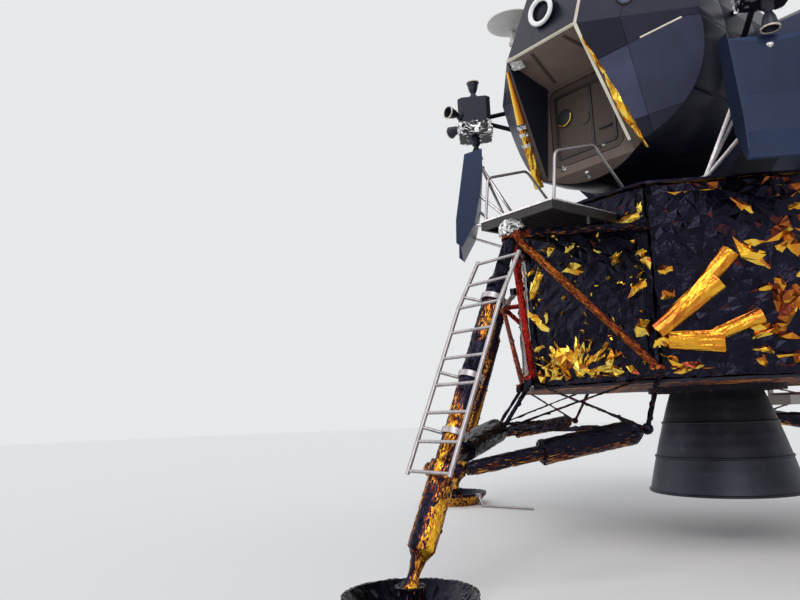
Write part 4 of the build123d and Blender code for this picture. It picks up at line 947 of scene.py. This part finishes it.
class OBJECT_OT_lander_front_trims(DressOperator, bpy.types.Operator):
    """Flanges and gold strips round the hatch's recess, and the hood's edge"""

    bl_idname = "object.lander_front_trims"
    bl_label = "Front trims"

    # Start, end and the radius at each, down the two edges of the recess
    FOIL_EDGES = (
        ((-0.530, -2.190, 4.17), (-0.618, -1.884, 3.60), 0.044, 0.056),
        (HOOD + Vector((0.036, 0.03, -0.14)), (0.496, -2.22, 4.30), 0.014, 0.024),
        ((0.491, -2.23, 4.32), (0.548, -2.05, 3.94), 0.024, 0.048),
        ((0.548, -2.05, 3.95), (0.640, -1.885, 3.62), 0.048, 0.010),
    )
    COVER = Vector((-0.235, HATCH_FACE, 4.235))
    # Front and back end of each rib, across and along the hood
    HOOD_RIBS = (((-0.14, -2.43), (-0.28, -1.93)), ((0.24, -2.43), (0.29, -2.10)))

    def execute(self, context):
        rng = random.Random(302)
        self.add_flanges(self.sizes(context).trim)
        self.add_gold_roll()
        self.add_foil_edges(rng)
        self.add_ties(rng)
        self.add_veil(rng)
        self.add_ribs(rng)
        self.add_silver_bits("recess_silver_bits", "module", (
            (-0.300, -1.886, 3.712, 0.034), (-0.048, -1.862, 3.598, 0.046)))
        self.add_silver_bits("hatch_silver_bit", "forward_hatch", ((0.170, -1.886, 3.800, 0.030),))
        self.add_hatch_fittings()
        self.add_cover_painted_glint()
        return {"FINISHED"}

    def add_flanges(self, width):
        """Painted flanges along the hood, the brow and the port edge, and the strip below the window."""
        bm = bmesh.new()
        bar(bm, flipped(HOOD), HOOD, width, 0.02, (0, -0.4, -1))
        bar(bm, BROW, HOOD, width, 0.018, (0, -1, 0.2))
        bar(bm, HOOD, RECESS_FOOT, width * 1.15, 0.018, (0, -1, -0.3))
        bar(bm, (0.775, -2.066, 4.558), (1.055, -1.842, 4.692), 0.016, 0.012, (0.6, -0.7, 0.2))
        bevel_all(bm, 0.003)
        paint_panels(bm, random.Random(301))
        as_piece(bm, "recess_flanges", "Cream paint")

    def add_gold_roll(self):
        """The smooth roll of foil down the starboard edge, with a painted highlight on the side that faces the
        light and russet on the other.
        """
        bm = bmesh.new()
        rod(bm, (-0.449, -2.437, 4.66), (-0.521, -2.204, 4.20), 0.015, 28, end_radius=0.047)
        bm.normal_update()
        lit = Vector((-0.28, -0.95, 0.05)).normalized()
        store(bm, "glint", lambda face: 0.27 + 0.60 * max(0.0, face.normal.dot(lit)) ** 3)
        as_piece(bm, "recess_gold_roll", "Gold fold")

    def add_foil_edges(self, rng):
        """Crumpled foil along both edges of the recess."""
        bm = bmesh.new()
        for start, end, radius, end_radius in self.FOIL_EDGES:
            rod(bm, start, end, radius, 7, end_radius=end_radius)
        crumple(bm, rng, creases=10, grain=0.11, depth=0.014, lean=0.8)
        paint_glint(bm, rng, base=0.47, tilt=0.5, spread=0.30)
        as_piece(bm, "recess_foil_edge", "Gold fold")

    def add_ties(self, rng):
        """Silver ties round the foil below the gold roll."""
        bm = bmesh.new()
        for share in (0.0, 0.4, 1.0):
            place = Vector((-0.526, -2.192, 4.19)).lerp(Vector((-0.558, -2.100, 4.03)), share)
            rod(bm, place, place + Vector((-0.006, 0.02, -0.04)), 0.060, 9, end_radius=0.056)
        crumple(bm, rng, creases=20, grain=0.04, depth=0.010)
        paint_glint(bm, rng, base=0.72, tilt=0.2, spread=0.36)
        as_piece(bm, "recess_silver_ties", "Silver foil")

    def add_veil(self, rng):
        """A thin silver corner under the hood's starboard end."""
        bm = bmesh.new()
        fold(bm, rng, flipped(HOOD) + Vector((0.055, 0.045, -0.055)), (0.3, -0.9, -0.4),
             slope=-0.9, length=0.20, width=0.12, height=0.02)
        crumple(bm, rng, creases=6, grain=0.06, depth=0.006)
        paint_glint(bm, rng, base=0.52, tilt=0.1, spread=0.12)
        as_piece(bm, "hood_corner_veil", "Silver foil")

    def add_ribs(self, rng):
        """Two dark ribs on the underside of the hood."""
        bm = bmesh.new()
        for start, end in self.HOOD_RIBS:
            bar(bm, self.under_hood(*start), self.under_hood(*end), 0.032, 0.010, (0, -0.2, -1))
        bevel_all(bm, 0.002)
        paint_panels(bm, rng, 0.0, 0.1)
        as_piece(bm, "hood_ribs", "Front skin")

    def under_hood(self, x, y):
        """A point on the hood's sloping underside."""
        return Vector((x, y, 4.722 - (y + 2.45) * 0.2035))

    def add_silver_bits(self, name, body, places):
        """Small crumpled covers on the recess's sill and at the hatch's foot."""
        rng = random.Random(304)
        bm = bmesh.new()
        for x, y, z, radius in places:
            for slope in (0.3, 1.4, 2.5):
                fold(bm, rng, (x, y, z), (0, -1, -0.2), slope + rng.uniform(-0.3, 0.3),
                     length=radius * 2.6, width=radius * 1.1, height=radius * 0.9)
        crumple(bm, rng, creases=2, grain=0.05, depth=0.004)
        paint_glint(bm, rng, base=0.60, tilt=0.2, spread=0.34)
        as_piece(bm, name, "Silver foil", body=body)

    def add_hatch_fittings(self):
        """Stiffening ribs, a valve cover and a handle on the hatch's face."""
        bm = bmesh.new()
        y, low, high, half = HATCH_FACE, 3.83, 4.47, 0.33
        for x in (-half, 0.081, half):
            bar(bm, (x, y, low), (x, y, high), 0.03, 0.012, (0, -1, 0))
        for z in (low, high):
            bar(bm, (-half, y, z), (half, y, z), 0.03, 0.012, (0, -1, 0))
        face_on = Matrix.Rotation(math.pi / 2, 4, "X")
        turned(bm, [(0, 0.0), (0.085, 0.0), (0.085, 0.012), (0.07, 0.02), (0, 0.022)],
               Matrix.Translation(self.COVER) @ face_on)
        bar(bm, (0.16, y - 0.012, 3.98), (0.30, y - 0.012, 3.98), 0.018, 0.018, (0, -1, 0))
        bevel_all(bm, 0.002)
        paint_panels(bm, random.Random(303))
        as_piece(bm, "hatch_ribs", "Dark metal", body="forward_hatch")

    def add_cover_painted_glint(self):
        """A gold arc along the lower edge of the valve cover, a painted reflection on the cover."""
        bm = bmesh.new()
        points = [self.COVER + Vector((0.088 * math.cos(turn), -0.018, 0.088 * math.sin(turn)))
                  for turn in (math.radians(-140 + 15 * step) for step in range(11))]
        for start, end in zip(points, points[1:]):
            rod(bm, start, end, 0.007, 8)
        paint_glint(bm, random.Random(305), base=0.72, tilt=0.2, spread=0.28)
        as_piece(bm, "hatch_cover_painted_glint", "Gold fold", body="forward_hatch")


class OBJECT_OT_lander_thrusters(DressOperator, bpy.types.Operator):
    """Dress the thruster clusters with foil skirts and pale nozzle lips"""

    bl_idname = "object.lander_thrusters"
    bl_label = "Thruster clusters"

    UPRIGHT_REACH = 0.476
    LEVEL_REACH = 0.420
    BODY_REACH = 0.24
    BODY_FACET = 0.01
    SKIRT_DROP = Vector((0, 0, -0.15))
    SKIRT_SIZE = (0.395, 0.395, 0.155, 1.0)
    SHARD_SLOPES = (12, 34, 56, 78, 98, 120, 142, 166)

    def execute(self, context):
        for index, (corner, (side, end)) in enumerate(CORNERS.items()):
            rng = random.Random(400 + index)
            centre = Vector((side * QUAD_OFFSET, end * QUAD_OFFSET, QUAD_Z))
            self.add_skin("thrusters_" + corner, rng, centre)
            self.add_lips(corner, rng, centre, side, end)
            self.add_skirt(corner, rng, centre)
        return {"FINISHED"}

    def add_skin(self, node, rng, centre):
        """The cluster's black body with its dark nozzles."""
        bm = copy_of(node)
        paint_panels(bm, rng)
        for face in bm.faces:
            away = (face.calc_center_median() - centre).length
            nozzle = away > self.BODY_REACH and face.calc_area() < self.BODY_FACET
            face.material_index = 1 if nozzle else 0
        as_piece(bm, node + "_skin", "Black skin, Bell metal", stands_for=(node,))

    def add_lips(self, corner, rng, centre, side, end):
        """A pale lip on each nozzle's mouth."""
        bm = bmesh.new()
        inner, outer = NOZZLE_EXIT - 0.008, NOZZLE_EXIT + 0.004
        ring = [(inner, 0.0), (outer, 0.0), (outer, 0.012), (inner, 0.012), (inner, 0.0)]
        for direction, reach in (
                ((0, 0, 1), self.UPRIGHT_REACH), ((0, 0, -1), self.UPRIGHT_REACH),
                ((side, 0, 0), self.LEVEL_REACH), ((0, end, 0), self.LEVEL_REACH)):
            place = Matrix.Translation(centre + Vector(direction) * reach)
            turned(bm, ring, place @ pointing(direction), 24)
        paint_panels(bm, rng)
        as_piece(bm, "nozzle_lips_" + corner, "Cream paint")

    def add_skirt(self, corner, rng, centre):
        """Crumpled silver foil round the cluster's foot, with shards that spread up from it."""
        bm = bmesh.new()
        place = Matrix.Translation(centre + self.SKIRT_DROP) @ Matrix.Rotation(math.pi / 4, 4, "Z")
        bmesh.ops.create_cube(bm, size=1.0, matrix=place @ Matrix.Diagonal(self.SKIRT_SIZE))
        crumple(bm, rng, creases=26, grain=0.075, depth=0.018, lean=0.7)
        for quarter in range(4):
            facing = Matrix.Rotation(math.pi / 4 + quarter * math.pi / 2, 3, "Z") @ Vector((1, 0, 0))
            level = Vector((0, 0, 1)).cross(facing)
            for slope in self.SHARD_SLOPES:
                turn = math.radians(slope + rng.uniform(-7, 7))
                away = rng.uniform(0.075, 0.105)
                place = centre + facing * 0.199 + level * away * math.cos(turn) * 1.15
                place.z += -0.205 + away * math.sin(turn)
                fold(bm, rng, place, facing, turn, length=rng.uniform(0.10, 0.15), width=0.022, height=0.026)
        bm.normal_update()
        paint_glint(bm, rng, base=0.76, tilt=0.4, spread=0.36)
        as_piece(bm, "thruster_skirt_" + corner, "Silver foil")


class OBJECT_OT_lander_deflectors(DressOperator, bpy.types.Operator):
    """Finish the plume deflectors and their pale struts"""

    bl_idname = "object.lander_deflectors"
    bl_label = "Plume deflectors"

    # Distances from the middle, out along a corner's diagonal
    STRUTS_WITHIN = 2.32
    CLAMPS_WITHIN = 2.45

    def execute(self, context):
        bm = copy_of("plume_deflectors")
        paint_panels(bm, random.Random(500))
        for face in bm.faces:
            centre = face.calc_center_median()
            radial = (abs(centre.x) + abs(centre.y)) / math.sqrt(2)
            small = max(edge.calc_length() for edge in face.edges) < 0.02 or face.calc_area() < 0.004
            strut = radial < self.STRUTS_WITHIN or small and radial < self.CLAMPS_WITHIN
            face.material_index = 1 if strut else 0
        as_piece(bm, "deflector_skins", "Deflector skin, Polished metal",
                 stands_for=("plume_deflectors",))
        return {"FINISHED"}


class OBJECT_OT_lander_rivets(DressOperator, bpy.types.Operator):
    """Rivet rows along the edges of the front face's panels"""

    bl_idname = "object.lander_rivets"
    bl_label = "Front rivets"

    INSET = 0.045
    END_GAP = 0.09

    def execute(self, context):
        sizes = self.sizes(context)
        bm = bmesh.new()
        for side in (Vector, flipped):
            hood, brow, sill, cheek = side(HOOD), side(BROW), side(SILL), side(CHEEK)
            rows = (
                (hood, cheek, brow), (cheek, brow, hood), (brow, hood, cheek), (hood, cheek, sill),
                (sill, hood, cheek), (hood, brow, flipped(hood)), (hood, flipped(hood), brow))
            for start, end, third in rows:
                if third == flipped(hood) and side is flipped:
                    continue
                normal = (end - start).cross(third - start).normalized()
                if normal.dot(start - CABIN_CENTRE) < 0:
                    normal.negate()
                along = (end - start).normalized()
                inward = (third - start) - along * (third - start).dot(along)
                shift = inward.normalized() * self.INSET + normal * sizes.plate_rise
                near = start + along * self.END_GAP
                far = end - along * self.END_GAP
                rivets_along(bm, near + shift, far + shift, normal, sizes)
        paint_panels(bm, random.Random(600))
        as_piece(bm, "front_rivets", "Slate skin")
        return {"FINISHED"}


class OBJECT_OT_lander_porch(DressOperator, bpy.types.Operator):
    """Pale edge strips on the porch, a painted highlight along its lit edges"""

    bl_idname = "object.lander_porch"
    bl_label = "Porch painted highlights"

    def execute(self, context):
        bm = bmesh.new()
        front, back = -2.966, -2.112
        # Painted highlight: pale metal strips along the porch's lit front and side edges
        bar(bm, (-0.406, front, 3.040), (0.406, front, 3.040), 0.020, 0.014, (0, -1, 0))
        for side in (-1, 1):
            bar(bm, (side * 0.402, front, 3.042), (side * 0.402, back, 3.042), 0.012, 0.012, (side, 0, 0))
        bevel_all(bm, 0.002)
        as_piece(bm, "porch_painted_highlights", "Polished metal")
        return {"FINISHED"}


class OBJECT_OT_lander_stage(DressOperator, bpy.types.Operator):
    """Pale floor, soft lamps and the camera at the photograph's view"""

    bl_idname = "object.lander_stage"
    bl_label = "Stage"

    # The camera fitted to the photograph: its place, its axes and its lens
    CAMERA_PLACE = Vector((3.8661, -7.2548, 1.3686))
    RIGHT = Vector((0.60273, 0.79722, -0.03402))
    DOWN = Vector((-0.15588, 0.07583, -0.98486))
    AHEAD = Vector((-0.78257, 0.59891, 0.16997))
    LENS = 31.05
    SENSOR = 36.0
    SHIFT = (0.008, -0.0059)
    # Name, place, strength and spread in degrees
    LAMPS = (
        ("Key", (8.0, -9.0, 10.0), 1.5, 40.0),
        ("Fill", (-9.0, -6.0, 7.0), 0.7, 60.0),
    )
    ROOM_LIGHT = (0.9, 0.93, 1.0, 1.0)
    ROOM_STRENGTH = 0.55
    BACKDROP = (0.80, 0.81, 0.82, 1.0)
    FLOOR_RADIUS = 60.0

    def execute(self, context):
        scene = context.scene
        self.add_floor()
        for name, place, strength, spread in self.LAMPS:
            self.add_lamp(name, place, strength, spread)
        scene.world = self.make_world()
        self.add_camera(scene)
        scene.view_settings.view_transform = "Standard"
        return {"FINISHED"}

    def add_floor(self):
        """A wide pale disc under the pads."""
        bm = bmesh.new()
        bmesh.ops.create_circle(bm, cap_ends=True, segments=96, radius=self.FLOOR_RADIUS)
        floor = placed("studio_floor", mesh_from(bm, "studio_floor", "Studio paint"))

    def add_lamp(self, name, place, strength, spread):
        """A soft distant lamp that points at the middle of the floor."""
        lamp = bpy.data.lights.new(name, "SUN")
        lamp.energy = strength
        lamp.angle = math.radians(spread)
        holder = placed(name, lamp)
        holder.location = place
        holder.rotation_euler = (-Vector(place)).to_track_quat("-Z", "Y").to_euler()

    def make_world(self):
        """Even light, with a pale backdrop for what the camera, metal and glass see."""
        world = bpy.data.worlds.new("Studio")
        room = Nodes(world)
        rays = room.node("LightPath").outputs
        seen = room.maths("MAXIMUM", rays["Is Camera Ray"], rays["Is Transmission Ray"])
        seen = room.maths("MAXIMUM", seen, rays["Is Glossy Ray"])
        light = room.node("Background", {0: self.ROOM_LIGHT, 1: self.ROOM_STRENGTH})
        backdrop = room.node("Background", {0: self.BACKDROP})
        mix = room.node("MixShader", {0: seen, 1: light.outputs[0], 2: backdrop.outputs[0]})
        room.node("OutputWorld", {0: mix.outputs[0]})
        return world

    def add_camera(self, scene):
        """The camera at the photograph's place, turned and framed as the photograph is."""
        data = bpy.data.cameras.new("Photo view")
        data.sensor_width = self.SENSOR
        data.lens = self.LENS
        data.shift_x, data.shift_y = self.SHIFT
        camera = placed("Photo view", data)
        turn = Matrix((self.RIGHT, -self.DOWN, -self.AHEAD)).transposed().to_4x4()
        camera.matrix_world = Matrix.Translation(self.CAMERA_PLACE) @ turn
        scene.camera = camera


OPERATORS = (
    OBJECT_OT_lander_finishes,
    OBJECT_OT_lander_descent_foil,
    OBJECT_OT_lander_foil_folds,
    OBJECT_OT_lander_leg_wraps,
    OBJECT_OT_lander_cabin,
    OBJECT_OT_lander_ascent_skins,
    OBJECT_OT_lander_front_trims,
    OBJECT_OT_lander_thrusters,
    OBJECT_OT_lander_deflectors,
    OBJECT_OT_lander_porch,
    OBJECT_OT_lander_rivets,
    OBJECT_OT_lander_stage,
)


class VIEW3D_PT_lander(bpy.types.Panel):
    """Lists the dressing's steps and values"""

    bl_idname = "VIEW3D_PT_lander"
    bl_label = "Lunar module"
    bl_space_type = "VIEW_3D"
    bl_region_type = "UI"
    bl_category = "Lander"

    def draw(self, context):
        for operator in OPERATORS:
            self.layout.operator(operator.bl_idname)
        for group in (context.scene.lander_sizes, context.scene.lander_colours):
            for name in group.__annotations__:
                self.layout.prop(group, name)


CLASSES = (LanderSizes, LanderColours, *OPERATORS, VIEW3D_PT_lander)


def register():
    """Registers the dressing's classes and its values on the scene."""
    for kind in CLASSES:
        bpy.utils.register_class(kind)
    bpy.types.Scene.lander_sizes = bpy.props.PointerProperty(type=LanderSizes)
    bpy.types.Scene.lander_colours = bpy.props.PointerProperty(type=LanderColours)


def unregister():
    """Takes back all that register adds."""
    del bpy.types.Scene.lander_colours
    del bpy.types.Scene.lander_sizes
    for kind in reversed(CLASSES):
        bpy.utils.unregister_class(kind)


def main():
    """Runs every step in order."""
    register()
    for operator in OPERATORS:
        group, name = operator.bl_idname.split(".")
        getattr(getattr(bpy.ops, group), name)()


if __name__ == "__main__":
    main()
